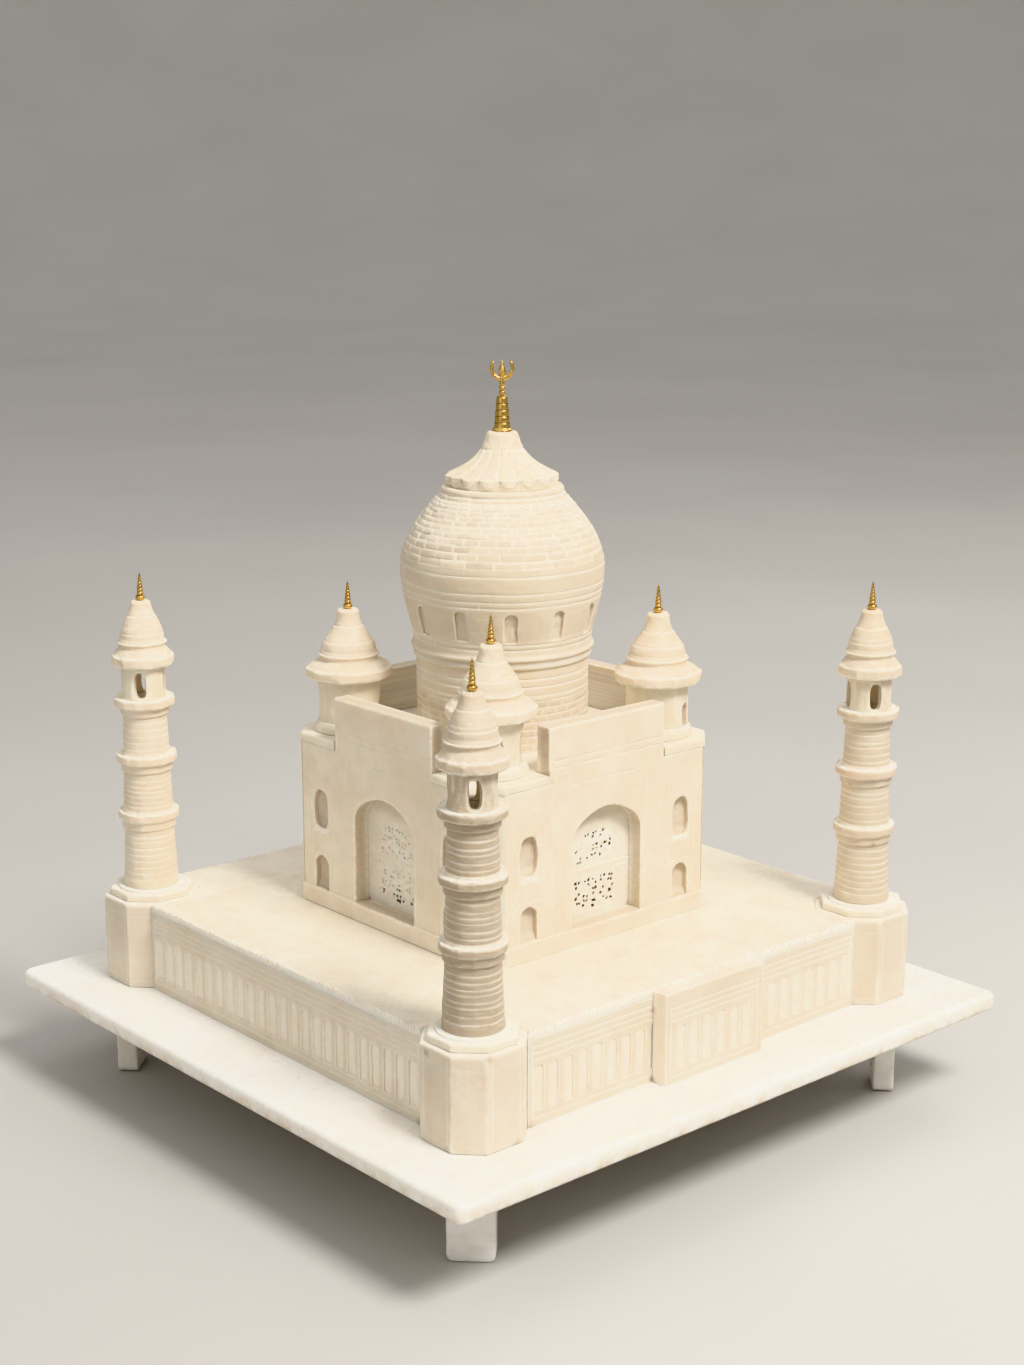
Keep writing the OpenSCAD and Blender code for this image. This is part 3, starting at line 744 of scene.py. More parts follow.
CARVED = stone("carved_stone", rgb(0.885, 0.81, 0.69), rgb(0.83, 0.735, 0.59))
DECK = stone("deck_stone", rgb(0.93, 0.87, 0.765), rgb(0.90, 0.82, 0.69), tiles=True)
PIERCED = stone("pierced_stone", rgb(0.92, 0.87, 0.78), rgb(0.88, 0.80, 0.69))
TURNED = stone("turned_stone", rgb(0.88, 0.795, 0.66), rgb(0.82, 0.715, 0.555), (0.3, 0.3, 2.0))
SLAB = slab_stone()
BRASS = brass()


# ---------------------------------------------------------------- slab, feet and plinth

def circle(r, centre=(0, 0), count=64):
    return np.array(arc(centre, r, 0, 360, count)[:-1])


def rounded_profile(low, high, r, count=5):
    """(inset, z) pairs of a plate's edge with rounded corners."""
    return ([(r - dx, low + r + dz) for dx, dz in arc((0, 0), r, -90, 0, count)]
            + [(r - dx, high - r + dz) for dx, dz in arc((0, 0), r, 0, 90, count)])


def uneven(amount, size, seed, cut=0.0):
    """A shape rule for prisms: sides pared down a little unevenly, as left by hand tools."""
    def shape(points, outward, along):
        return amount * (rough(points, size, seed) - 1), {"cut": cut}
    return shape


def make_base_slab():
    carving = Carving()
    half, r = SLAB_HALF, 4.0  # r: radius of its corners in plan
    corners = [p for k, (x, y) in enumerate(((1, -1), (1, 1), (-1, 1), (-1, -1)))
               for p in arc((x * (half - r), y * (half - r)), r, -90 + 90 * k, 90 * k, 6)]

    def edge(points, outward, along):
        amount = 0.12 * rough(points, 14, 2) + 0.03 * rough(points, 2, 4) - 0.14
        chips = unit(rough(points, 5, 8) - 0.75)
        lower = unit((Z_SLAB + 5 - points[..., 2]) / 4)
        # darker and yellower towards the bottom of the sides
        return amount - 1.2 * chips, {"cut": np.clip(0.8 * lower, 0, 0.75)}

    prism(carving, corners, rounded_profile(Z_SLAB, Z_PLINTH, 2.4), 1.2, [circle(LAMP_R)], edge)
    make_piece(carving, "base_slab", SLAB, 30)


def make_foot(i):
    node = "foot_" + CORNERS[i]
    low, high = mm_box(node)
    sx, sy = CORNER_SIGNS[i]
    middle = (low + high) / 2
    across = np.array([-sy, sx, 0]) / math.sqrt(2)
    through = np.array([sx, sy, 0]) / math.sqrt(2)
    width, thick = 18.7, 9.0
    outline = (arc((width / 2 - 3, 3), 3, -90, 0, 5) + [(width / 2, high[2]), (-width / 2, high[2])]
               + arc((-width / 2 + 3, 3), 3, 180, 270, 5))

    def place(p):
        flat = np.array([middle[0], middle[1], 0])
        return flat + p[..., :1] * across + (p[..., 2:3] - thick / 2) * through + p[..., 1:2] * (0, 0, 1)

    carving = Carving()
    prism(carving, outline, rounded_profile(0, thick, 0.9, 3), 0.9, [], uneven(0.12, 4, 20 + i, 0.2),
          place, step_z=1.2)
    make_piece(carving, node, SLAB)


PANEL_PITCH = 7.6


def level_lines(height):
    """Heights of the lines along a plinth face: one over its foot and three under its top."""
    return 3.3, height - 8.7, height - 6.1, height - 3.5


def carved_face(u, v, height, half_run):
    """Relief of a plinth face: its level lines, an upright line at each end and tool marks."""
    at = points_of(u, v)
    lines = groove(nearest(v, level_lines(height)), 0.8) * (np.abs(u) < half_run)
    ends = groove(np.abs(u) - half_run, 0.8) * (v > 3) * (v < height - 3)
    line = np.maximum(lines, ends)
    return 0.25 * line + 0.09 * rough(at, 2.6, 12) + 0.1 * rough(at, 20, 14, 2), {"cut": line, "tint": 0.22}


def panels(count, half, low, high, seed):
    """Outlines of a row of blind arched panels."""
    return [hand_cut(arch(half, high - low + 0.5 * math.sin(5 * k + seed), 1.3,
                          ((k - (count - 1) / 2) * PANEL_PITCH, low), 8), 0.16, seed + k)
            for k in range(count)]


def turn_side(i):
    """Turns points of the front side to side number i."""
    c, s = round(math.cos(math.pi / 2 * i)), round(math.sin(math.pi / 2 * i))

    def turn(p):
        return np.stack([p[..., 0] * c - p[..., 1] * s, p[..., 0] * s + p[..., 1] * c, p[..., 2]], -1)
    return turn


def turned_plan(plan, i):
    """An outline drawn at the front, turned to side number i."""
    return turn_side(i)(np.column_stack([plan, np.zeros(len(plan))]))[:, :2]


def make_plinth_wall(i):
    height = Z_DECK_LOW - Z_PLINTH
    inner = BASTION_AT - BASTION_HALF
    slope = PLINTH_HALF - (BASTION_AT + BASTION_HALF - BASTION_CUT)
    end = inner + slope
    count = 24
    rims = panels(count, 2.3, 6.2, height - 11.2, 100 * i)
    turn = turn_side(i)

    def place(u, v, depth):
        u = u * np.maximum(inner, end - np.clip(depth, 0, None)) / end
        return turn(points_of(u, -PLINTH_HALF + depth, Z_PLINTH + v))

    carving = Carving()
    us = spread([-end, end], 0.62)
    vs = spread([0, height] + line_stops(level_lines(height)), 0.62)
    sheet(carving, us, vs, cells_of([], rims), rims, place,
          lambda u, v: carved_face(u, v, height, end - 2.5), PLINTH_WALL, pocket=0.5, edge=0.2,
          floor_masks={"cut": 0.5})
    make_piece(carving, "plinth_wall_" + SIDES[i], CARVED)


def make_stair_block():
    low, high = mm_box("stair_block")
    half, height = high[0], high[2] - Z_PLINTH
    deep = -PLINTH_HALF - low[1]
    rims = panels(6, 2.3, 6.2, height - 14.2, 500)

    def place(u, v, depth):
        top = unit((v - height + 1) / 1)
        worn = 0.45 * top * (1 + rough(points_of(u, v, 5 * depth), 3, 31, 2))
        return points_of(u, low[1] + depth, Z_PLINTH + v - worn)

    carving = Carving()
    us = spread([-half, half], 0.6)
    vs = spread([0, height] + line_stops(level_lines(height - 3)), 0.6)
    sheet(carving, us, vs, cells_of([], rims), rims, place,
          lambda u, v: carved_face(u, v, height - 3, half - 3), deep, pocket=0.5, edge=0.2,
          floor_masks={"cut": 0.5})
    make_piece(carving, "stair_block", CARVED)


def bastion_corners(half, cut, centre=(0, 0)):
    """Plan of a bastion: a square with cut corners, anticlockwise."""
    h, c = half, half - cut
    return np.array([(h, -c), (h, c), (c, h), (-c, h), (-h, c), (-h, -c), (-c, -h), (c, -h)]) + centre


def make_bastion(i):
    sx, sy = CORNER_SIGNS[i]
    centre = np.array([sx, sy]) * BASTION_AT
    socket = SPIGOT_L - (Z_MINARET - Z_DECK) + 1
    carving = Carving()

    def shape(points, outward, along):
        z = points[..., 2] - Z_PLINTH
        height = Z_DECK - Z_PLINTH
        top = unit((z - height + 2.2) / 2.2)
        chips = unit(rough(points, 4, 50 + i) - 0.25) * top
        lines = np.maximum(groove(z - 3.3, 0.9), groove(z - (height - 6), 0.8)) * 0.5
        x, y = np.moveaxis(np.abs(points[..., :2] - centre), -1, 0)
        flat_end = BASTION_HALF - BASTION_CUT
        face = np.minimum(np.abs(x - BASTION_HALF), np.abs(y - BASTION_HALF))
        panel = groove(np.minimum(x, y) - (flat_end - 2.2), 0.9) * (face < 1) * (z > 3) * (z < height - 3)
        carved = np.maximum(panel, lines)
        arris = np.minimum(np.hypot(x - BASTION_HALF, y - flat_end), np.hypot(x - flat_end, y - BASTION_HALF))
        knocks = unit(1.2 - arris) * unit(rough(points * (1, 1, 0.4), 3, 70 + i) + 0.1)
        amount = (0.12 * rough(points * (1, 1, 0.35), 2.2, 60 + i) + 0.15 * rough(points, 14, 66 + i)
                  - 0.3 * carved - 1.4 * chips - 0.9 * knocks - 0.1)
        return amount, {"cut": unit(carved * 0.7 + chips + top * 0.5 + 1.4 * knocks), "tint": 0.3}

    profile = [(0.5, Z_PLINTH), (0, Z_PLINTH + 0.5), (0, Z_DECK - 0.7), (0.25, Z_DECK - 0.2), (0.7, Z_DECK)]
    prism_open_top(carving, bastion_corners(BASTION_HALF, BASTION_CUT, centre), profile,
                   circle(SPIGOT_R + FIT, centre, 32), socket, shape)
    make_piece(carving, "bastion_" + CORNERS[i], CARVED)


def prism_open_top(carving, corners, profile, hole, deep, shape):
    """A block with a blind round socket in its top."""
    profile = dense(np.array(profile, float), 0.85)
    rings, masks = block_sides(corners, profile, 0.8, shape)
    top = profile[-1][1]
    middle = hole.mean(0)
    cup = np.array([np.column_stack([middle + (hole - middle) * s, np.full(len(hole), z)])
                    for s, z in ((1, top), (1, top - deep), (0, top - deep))])
    carving.rings(rings, masks)
    carving.rings(cup)
    carving.cap([rings[0]])
    carving.cap([rings[-1], cup[0]], {"cut": 0.25})


def make_deck():
    """The deck plate, whose edge is cut into fine upright dashes."""
    inner, reach = BASTION_AT - BASTION_HALF - 0.03, BASTION_AT + BASTION_HALF - BASTION_CUT
    end = inner + PLINTH_HALF - reach
    near = BASTION_AT - BASTION_HALF + BASTION_CUT
    quarter = np.array([(end, -PLINTH_HALF), (inner, -reach), (inner, -near),
                        (near, -inner), (reach, -inner), (PLINTH_HALF, -end)])
    corners = np.concatenate([turned_plan(quarter, i) for i in range(4)])

    def shape(points, outward, along):
        edge = np.abs(points[..., :2]).max(-1) > PLINTH_HALF - 1.2
        z = (points[..., 2] - Z_DECK_LOW) / (Z_DECK - Z_DECK_LOW)
        pitch = 1.8
        wave = along + 0.6 * rough(points, 5, 81, 2)
        index = np.floor(wave / pitch).astype(np.int64)
        luck = hashed(index, 0, 0, 82)
        reach = unit(2.6 * z - 0.2 - 1.2 * luck)
        dash = groove((wave % pitch) - pitch / 2, 0.7 + 0.6 * luck) * reach
        stained = dash * (luck > 0.62) * unit(rough(points, 9, 84) + 0.2)
        amount = 0.16 * rough(points, 2, 83) - 0.75 * luck * dash - 0.15
        cut = edge * unit(0.25 + z - 0.5 * dash)
        return edge * amount, {"cut": cut, "grime": 0.75 * edge * stained}

    carving = Carving()
    profile = [(0.1, Z_DECK_LOW), (0, Z_DECK_LOW + 0.3), (0, Z_DECK - 0.6), (0.3, Z_DECK), (1.8, Z_DECK)]
    prism(carving, corners, profile, 0.42, [circle(WELL_R)], shape, step_z=0.45)
    make_piece(carving, "plinth_deck", DECK)


# ---------------------------------------------------------------- the building

def make_facade(i):
    side, top = Z_ROOF_LOW - Z_DECK, Z_PORTAL - Z_DECK
    frame_at, frame_top = ARCH_HALF + 2.5, BAND_H + ARCH_H + 12.5
    sill, tie = WINDOWS[1][0], BAND_H + 17.4
    doubles = (top - 17, top - 14)
    opening = hand_cut(arch(ARCH_HALF, ARCH_H, ARCH_RISE, (0, BAND_H)), 0.2, 200 + i, 6)
    (low_sill, low_h), (high_sill, high_h) = WINDOWS
    niches = [oval(WINDOW_W / 2, high_h, (s * WINDOW_AT, high_sill), 210 + 10 * i + s) for s in (-1, 1)]
    niches += [hand_cut(arch(WINDOW_W / 2 - 0.2, low_h + 1.6, 4.2, (s * WINDOW_AT, low_sill - 1.0), 12), 0.35,
                        213 + 10 * i + s, 4) for s in (-1, 1)]
    turn = turn_side(i)

    def place(u, v, depth):
        at = points_of(u, v, 90.0 * i)
        bend = 0.22 * rough(at, 24, 90, 2)
        raised = unit(v - side - 2)
        return turn(points_of(u + bend * (np.abs(u) < WALL_RUN - 1), -WALL_HALF + depth,
                              Z_DECK + v + 0.2 * raised * (rough(at, 18, 95, 2) - 1)))

    def beside_portal(u, v):
        return (np.abs(u) > PORTAL_HALF) & (v > side)

    def relief(u, v):
        at = points_of(u, v, 50.0 * i)
        above = v > BAND_H
        upright = groove(np.abs(u) - frame_at, 0.75) * above * (v < frame_top)
        upright = np.maximum(upright, groove(np.abs(u) - PORTAL_HALF + 2, 0.75) * above * (v < doubles[1]))
        for x in (-7.5, 5.7, 7.9):
            beside_window = groove(np.abs(u) - WINDOW_AT - x, 0.7) * above * (v < side - 3 - abs(x))
            upright = np.maximum(upright, beside_window)
        level = groove(v - frame_top, 0.75) * (np.abs(u) < frame_at)
        for z in doubles:
            level = np.maximum(level, groove(v - z, 0.75) * (np.abs(u) < PORTAL_HALF - 2))
        beside = np.abs(np.abs(u) - WINDOW_AT)
        level = np.maximum(level, groove(v - tie, 0.7) * (beside < 5.7))
        level = np.maximum(level, groove(v - sill + 1, 0.7) * (beside < 7.5) * (beside > 5))
        line = np.maximum(upright, level) * np.clip(0.75 + 0.8 * rough(at, 9, 94, 2), 0.15, 1)
        patch = (beside < 5.2) * (v < sill + 0.6) * (v > sill - 2.4 - 1.1 * rough(at, 2, 93))
        ledge = unit((BAND_H + 0.35 - v) / 0.35)
        corner = unit(1 - (WALL_RUN - np.abs(u)) / 1.2)
        depth = 0.4 * line - BAND_OUT * ledge + 0.07 * rough(at, 2.4, 96) + 0.16 * rough(at, 26, 98, 2)
        depth = depth + 0.35 * corner + patch * (0.25 + 0.2 * rough(at, 1.2, 99))
        return depth, {"cut": unit(line + 0.4 * ledge * (1 - ledge) * 4 + patch)}

    def pocket(u, v):
        beside = np.abs(np.abs(u) - WINDOW_AT) / (WINDOW_W / 2)
        above = np.where(v > WINDOWS[1][0] - 2, v - WINDOWS[1][0], v - WINDOWS[0][0] + 1)
        return (2.4 + 1.4 * unit(1 - beside ** 2)) * (0.5 + 0.5 * unit(above / 3))

    uprights = (frame_at, PORTAL_HALF - 2, WINDOW_AT - 7.5, WINDOW_AT + 5.7, WINDOW_AT + 7.9)
    us = spread([-WALL_RUN, -PORTAL_HALF, PORTAL_HALF, WALL_RUN]
                + line_stops([s * x for s in (-1, 1) for x in uprights]), 0.66)
    vs = spread([0, BAND_H, BAND_H + 0.35, side, top]
                + line_stops([frame_top, *doubles, tie, sill - 1]), 0.66)
    carving = Carving()
    # hole_masks paint shade on the walls of the arch opening and the edges of the plate; floor_masks paint
    # shade inside the window niches
    sheet(carving, us, vs, cells_of([opening], niches, beside_portal), [opening] + niches, place, relief,
          WALL_T, pocket=pocket, edge=0.45, hole_masks={"tint": 0.6}, floor_masks={"tint": 0.5})
    make_piece(carving, "facade_" + SIDES[i], CARVED)


def make_corner_wall(i):
    a, b = WALL_HALF, WALL_INNER
    plan = np.array([(-a, -WALL_RUN), (-WALL_RUN, -a), (-WALL_RUN, -b), (-b, -WALL_RUN)])
    plan = turned_plan(plan, i)
    outer = np.array(CORNER_SIGNS[i]) / math.sqrt(2)

    def shape(points, outward, along):
        v = points[..., 2] - Z_DECK
        face = unit((outward @ outer - 0.4) * 3)
        ledge = unit((BAND_H + 0.5 - v) / 0.5)
        line = groove(v - (Z_ROOF_LOW - Z_DECK - 14), 0.8)
        return (face * (BAND_OUT * ledge - 0.3 * line) + 0.08 * rough(points, 2.4, 120 + i)
                - 0.1), {"cut": 0.5 * line * face}

    carving = Carving()
    prism(carving, plan, [(0.1, Z_DECK), (0, Z_DECK + 0.4), (0, Z_DECK + BAND_H), (0, Z_DECK + BAND_H + 0.5),
                          (0, Z_ROOF_LOW)], 0.8, [], shape, step_z=0.9)
    make_piece(carving, "corner_wall_" + CORNERS[i], CARVED)


def petal(centre, angle, length, width):
    """A small four-sided hole with rounded sides, as left by a drill and a file."""
    shape = np.array([(-0.5, 0), (-0.1, -0.5), (0.5, 0), (-0.1, 0.5)]) * (length, width)
    c, s = math.cos(angle), math.sin(angle)
    return np.array(centre) + shape @ np.array([(c, s), (-s, c)])


def flowers(columns, rows, pitch, low, seed):
    """Petal holes of rough flowers on a loose square grid, some of them left out."""
    holes = []
    for c in range(columns):
        for r in range(rows):
            luck = [hashed(c, r, k, seed) for k in range(20)]
            x = (c - (columns - 1) / 2) * pitch + 1.3 * (luck[0] - 0.5)
            z = low + (r + 0.5) * pitch + 1.3 * (luck[1] - 0.5)
            for k in range(4):
                if luck[12 + k] < 0.42:
                    continue
                turn = math.pi / 4 + math.pi / 2 * k + 0.9 * (luck[2 + k] - 0.5)
                size = pitch * (0.27 + 0.17 * luck[6 + k])
                middle = (x + pitch * 0.29 * math.cos(turn), z + pitch * 0.29 * math.sin(turn))
                holes.append(petal(middle, turn, size, size * (0.6 + 0.3 * luck[16 + k])))
    return holes


def make_jali(i):
    """A pierced screen: a plain frame with a rail between an arched panel and a lower one."""
    half, height = ARCH_HALF + 3, BAND_H + ARCH_H + 3
    pitch, panel = 4.6, 12.6
    rail = (BAND_H + 19.3, BAND_H + 21.7)
    low_panel = np.array([(-panel, BAND_H + 2.6), (panel, BAND_H + 2.6), (panel, rail[0]), (-panel, rail[0])])
    high_panel = arch(panel, 15.5, 6, (0, rail[1]))
    holes = (flowers(5, 3, pitch, BAND_H + 3.3, 7 + i) + flowers(5, 2, pitch, BAND_H + 22.6, 17 + i)
             + flowers(3, 1, pitch, BAND_H + 22.6 + 2 * pitch, 27 + i))
    pits = []
    if SIDES[i] == "left":  # only its lowest holes go right through
        pits = [hole for hole in holes if hole[:, 1].mean() > BAND_H + 9]
        holes = [hole for hole in holes if hole[:, 1].mean() <= BAND_H + 9]
    turn = turn_side(i)

    def place(u, v, depth):
        return turn(points_of(u, -WALL_INNER + depth, Z_DECK + v))

    def relief(u, v):
        sunk = inside(low_panel, u, v) | inside(high_panel, u, v)
        at = points_of(u, v, 33.0 * i)
        scratch = rough(at, 1.1, 140, 3)
        line = groove(nearest(v, rail), 0.8) * (np.abs(u) < half - 2)
        depth = 0.3 * sunk + 0.22 * scratch * sunk + 0.05 * scratch + 0.3 * line
        # Painted shade: the screen darkens towards the head of the arch, as if shaded by it
        under_arch = unit((v - BAND_H - ARCH_H + 11 + 3 * rough(at, 9, 143, 2)) / 5)
        return depth, {"cut": unit(0.2 + 0.3 * sunk + line), "tint": 0.12 + 0.5 * under_arch,
                       "grime": 0.22 * sunk * unit(3 * scratch - 0.9)}

    us = spread([-half, -panel, panel, half], 0.36)
    vs = spread([0, BAND_H, height] + line_stops(rail), 0.36)
    carving = Carving()
    # hole_masks paint shade, in the dark glue colour, on the walls of the holes and the edges of the plate
    sheet(carving, us, vs, cells_of(holes, pits), holes + pits, place, relief, JALI_T, pocket=0.9, edge=0.12,
          back="grid", hole_masks={"grime": 1.0})
    make_piece(carving, "jali_screen_" + SIDES[i], PIERCED)


def make_roof():
    edge = -roof_low[0]
    cut = WALL_RUN + (edge - WALL_HALF) * 0.41
    side = np.array([(-cut, -edge), (-PORTAL_HALF - 0.05, -edge), (-PORTAL_HALF - 0.05, -WALL_INNER + 0.05),
                     (PORTAL_HALF + 0.05, -WALL_INNER + 0.05), (PORTAL_HALF + 0.05, -edge), (cut, -edge)])
    corners = np.concatenate([turned_plan(side, i) for i in range(4)])

    def shape(points, outward, along):
        return 0.25 * rough(points, 5, 150) + 0.1 * rough(points, 1.4, 151) - 0.5, {"cut": 0.1}

    carving = Carving()
    prism(carving, corners, [(0.2, Z_ROOF_LOW), (0, Z_ROOF_LOW + 0.4), (0, Z_ROOF - 0.8), (0.5, Z_ROOF)], 0.8,
          [circle(DRUM_HOLE_R, count=96)], shape, step_z=0.8)
    make_piece(carving, "roof_plate", CARVED)


# ---------------------------------------------------------------- turned pieces

def stacked(z, lines, seed):
    """Engraved rings, and the slight steps that they leave between the courses of a turned shaft."""
    line = groove(nearest(z, lines), 0.8)
    course = np.searchsorted(np.asarray(lines), z).astype(np.int64)
    step = hashed(course, 0, 0, seed) - 0.5
    return line, step


def tube(carving, axis, r, wall, low, high, openings, seed, tone=0.0):
    """An upright pipe with arched openings. openings: outlines in (length round, height). tone: painted shade
    over the pipe; the walls of its openings and its ends get darker painted shade.
    """
    around = TURN * r
    us = np.arange(0, around - 0.01, around / round(around / 0.5))
    vs = spread([low, high], 0.5)
    rims = [hole + (shift, 0) for hole in openings for shift in (-around, 0, around)]

    def place(u, v, depth):
        return polar(r - depth, u / r, v, axis)

    def relief(u, v):
        points = place(u, v, 0 * u)
        marks = rough(points * (1, 1, 0.3), 1.8, seed)
        return 0.14 * marks + 0.08 * rough(points, 7, seed + 3), {
            "cut": np.clip(0.15 + 0.6 * marks, 0, 0.7), "tint": tone}

    # hole_masks paint shade on the walls of the openings and the ends of the pipe
    sheet(carving, us, vs, cells_of(rims), rims, place, relief, wall, wrap=around, edge=0.25, back="grid",
          hole_masks={"tint": 0.3 + 0.7 * tone})


def round_openings(turn, r, half, sill, height, seed, cut=None):
    """Outlines of four openings round a pipe, a quarter turn apart: arched, or ovals."""
    result = []
    for k in range(4):
        at = math.radians(turn + 90 * k) % TURN * r
        if cut is None:
            result.append(hand_cut(arch(half, height, half * 1.1, (at, sill), 12), 0.2, seed + k, 2.5))
        else:
            result.append(oval(half, height, (at, sill), seed + k, cut))
    return result


def make_kiosk(i):
    axis = np.array(CORNER_SIGNS[i]) * KIOSK_AT
    low, high = mm_box("kiosk_" + CORNERS[i])
    foot_r, foot_h, wall = (high[0] - low[0]) / 2, 5.0, 2.6
    outline = soften([(0, Z_ROOF), (foot_r, Z_ROOF), (foot_r, Z_ROOF + 2.8), (KIOSK_R + 0.6, Z_ROOF + foot_h),
                      (0, Z_ROOF + foot_h)], 0.7)

    def shape(angle, r, z, points):
        return 0.22 * rough(points, 3, 160 + i) - 0.15, {"cut": 0.35}

    carving = Carving()
    turned(carving, outline, axis, 110, shape, 0.8)
    turn, width, height = KIOSK_CUTS[i]
    openings = round_openings(turn, KIOSK_R, width / 2, Z_ROOF + foot_h + 0.15, height, 170 + i)
    tube(carving, axis, KIOSK_R, wall, Z_ROOF + foot_h - 0.8, high[2], openings, 180 + i)
    make_piece(carving, "kiosk_" + CORNERS[i], TURNED)


def cap_outline(body_r, eave_r, neck_r, top_r, low, height, power):
    """Bell-shaped cap: eave with a rounded rim, neck, bead and bell."""
    rim, rim_low, rim_high = 1.8, 2.0, 4.2
    neck_z, bell_z = 9.0, 12.5
    bell = [(top_r + (neck_r - 0.5 - top_r) * math.sin(math.pi / 2 * (1 - t)) ** power,
             bell_z + (height - 1 - bell_z) * t) for t in np.linspace(0, 1, 17)]
    points = ([(0, 0), (body_r, 0)] + arc((eave_r - rim, rim_low), rim, -80, 0, 6)
              + arc((eave_r - rim, rim_high), rim, 0, 60, 5)
              + [(neck_r, neck_z - 0.5), (neck_r, neck_z + 0.6)]
              + arc((neck_r, neck_z + 1.7), 0.8, -60, 60, 5) + bell + [(top_r - 1, height), (0, height)])
    return soften([(r, low + z) for r, z in points], 0.45)


def facets_of(angle, count, r, seed):
    """How far a ring of radius r is pared where it is cut into about count uneven flats."""
    wander = angle + 0.12 * np.sin(2 * angle + seed) + 0.07 * np.sin(5 * angle + 2.3 * seed)
    part = (wander + seed) % (TURN / count) - TURN / count / 2
    return r * (1 - math.cos(math.pi / count) / np.cos(part))


# How much painted shade darkens the stone of each minaret, most on the front left one
MINARET_SHADE = (1.0, 0.55, 0.2, 0.08)


def make_cap(kind, i, axis, body_r, neck_r, top_r, power):
    node = f"{kind}_cap_{CORNERS[i]}"
    low, high = mm_box(node)
    eave_r, height = (high[0] - low[0]) / 2, high[2] - low[2]
    seed = 200 + 11 * i + (50 if kind == "kiosk" else 0)
    ledges = [(low[2] + height * (t + 0.02 * math.sin(seed * t)), strength)
              for t, strength in ((0.535, 0.8), (0.62, 0.35), (0.765, 1.0))]

    def shape(angle, r, z, points):
        level = z - low[2]
        rim = unit((r - eave_r + 3.2) / 2.2) * (level < 8.5)
        wander = 0.3 * rough(points, 8, seed, 1)
        line, swell = np.zeros_like(z), np.zeros_like(z)
        for ledge, strength in ledges:
            gap = ledge - z - wander
            line = np.maximum(line, strength * groove(gap, 0.9))
            swell = swell + 0.16 * strength * np.where(gap > 0, np.exp(-gap / 2.5), 0)
        bell = level > 12
        seam = groove(level - 11.4, 0.9)
        wave = 0.5 * rough(points * (1, 1, 0), 4.5, seed + 2, 2)
        ridge = rim * unit(1 - np.abs(level - 5.7 - wave) / 0.7)
        lower = rim * unit(1 - np.abs(level - 1.0 - wave) / 0.9)
        chips = unit(rough(points, 2.2, seed + 9) - 0.3) * lower
        amount = (-0.6 * rim * facets_of(angle, 9, eave_r, seed) - 0.2 * line * bell + swell * bell
                  - 0.3 * seam + rim * (0.3 * rough(points, 3.2, seed + 5) - 0.25)
                  + 0.1 * rough(points, 2, seed + 7)
                  + 0.12 * rough(points * (1, 1, 0.25), 4, seed + 8) - 1.0 * chips - 0.12)
        bright = 0.7 * line * bell + 0.8 * ridge + 0.7 * lower + 0.5 * seam + chips
        # the minaret caps get half of their minaret's painted shade
        return amount, {"cut": unit(bright), "tint": 0.5 * MINARET_SHADE[i] if kind == "minaret" else 0.06}

    carving = Carving()
    turned(carving, cap_outline(body_r, eave_r, neck_r, top_r, low[2], height, power), axis, 176, shape, 0.46)
    make_piece(carving, node, TURNED)


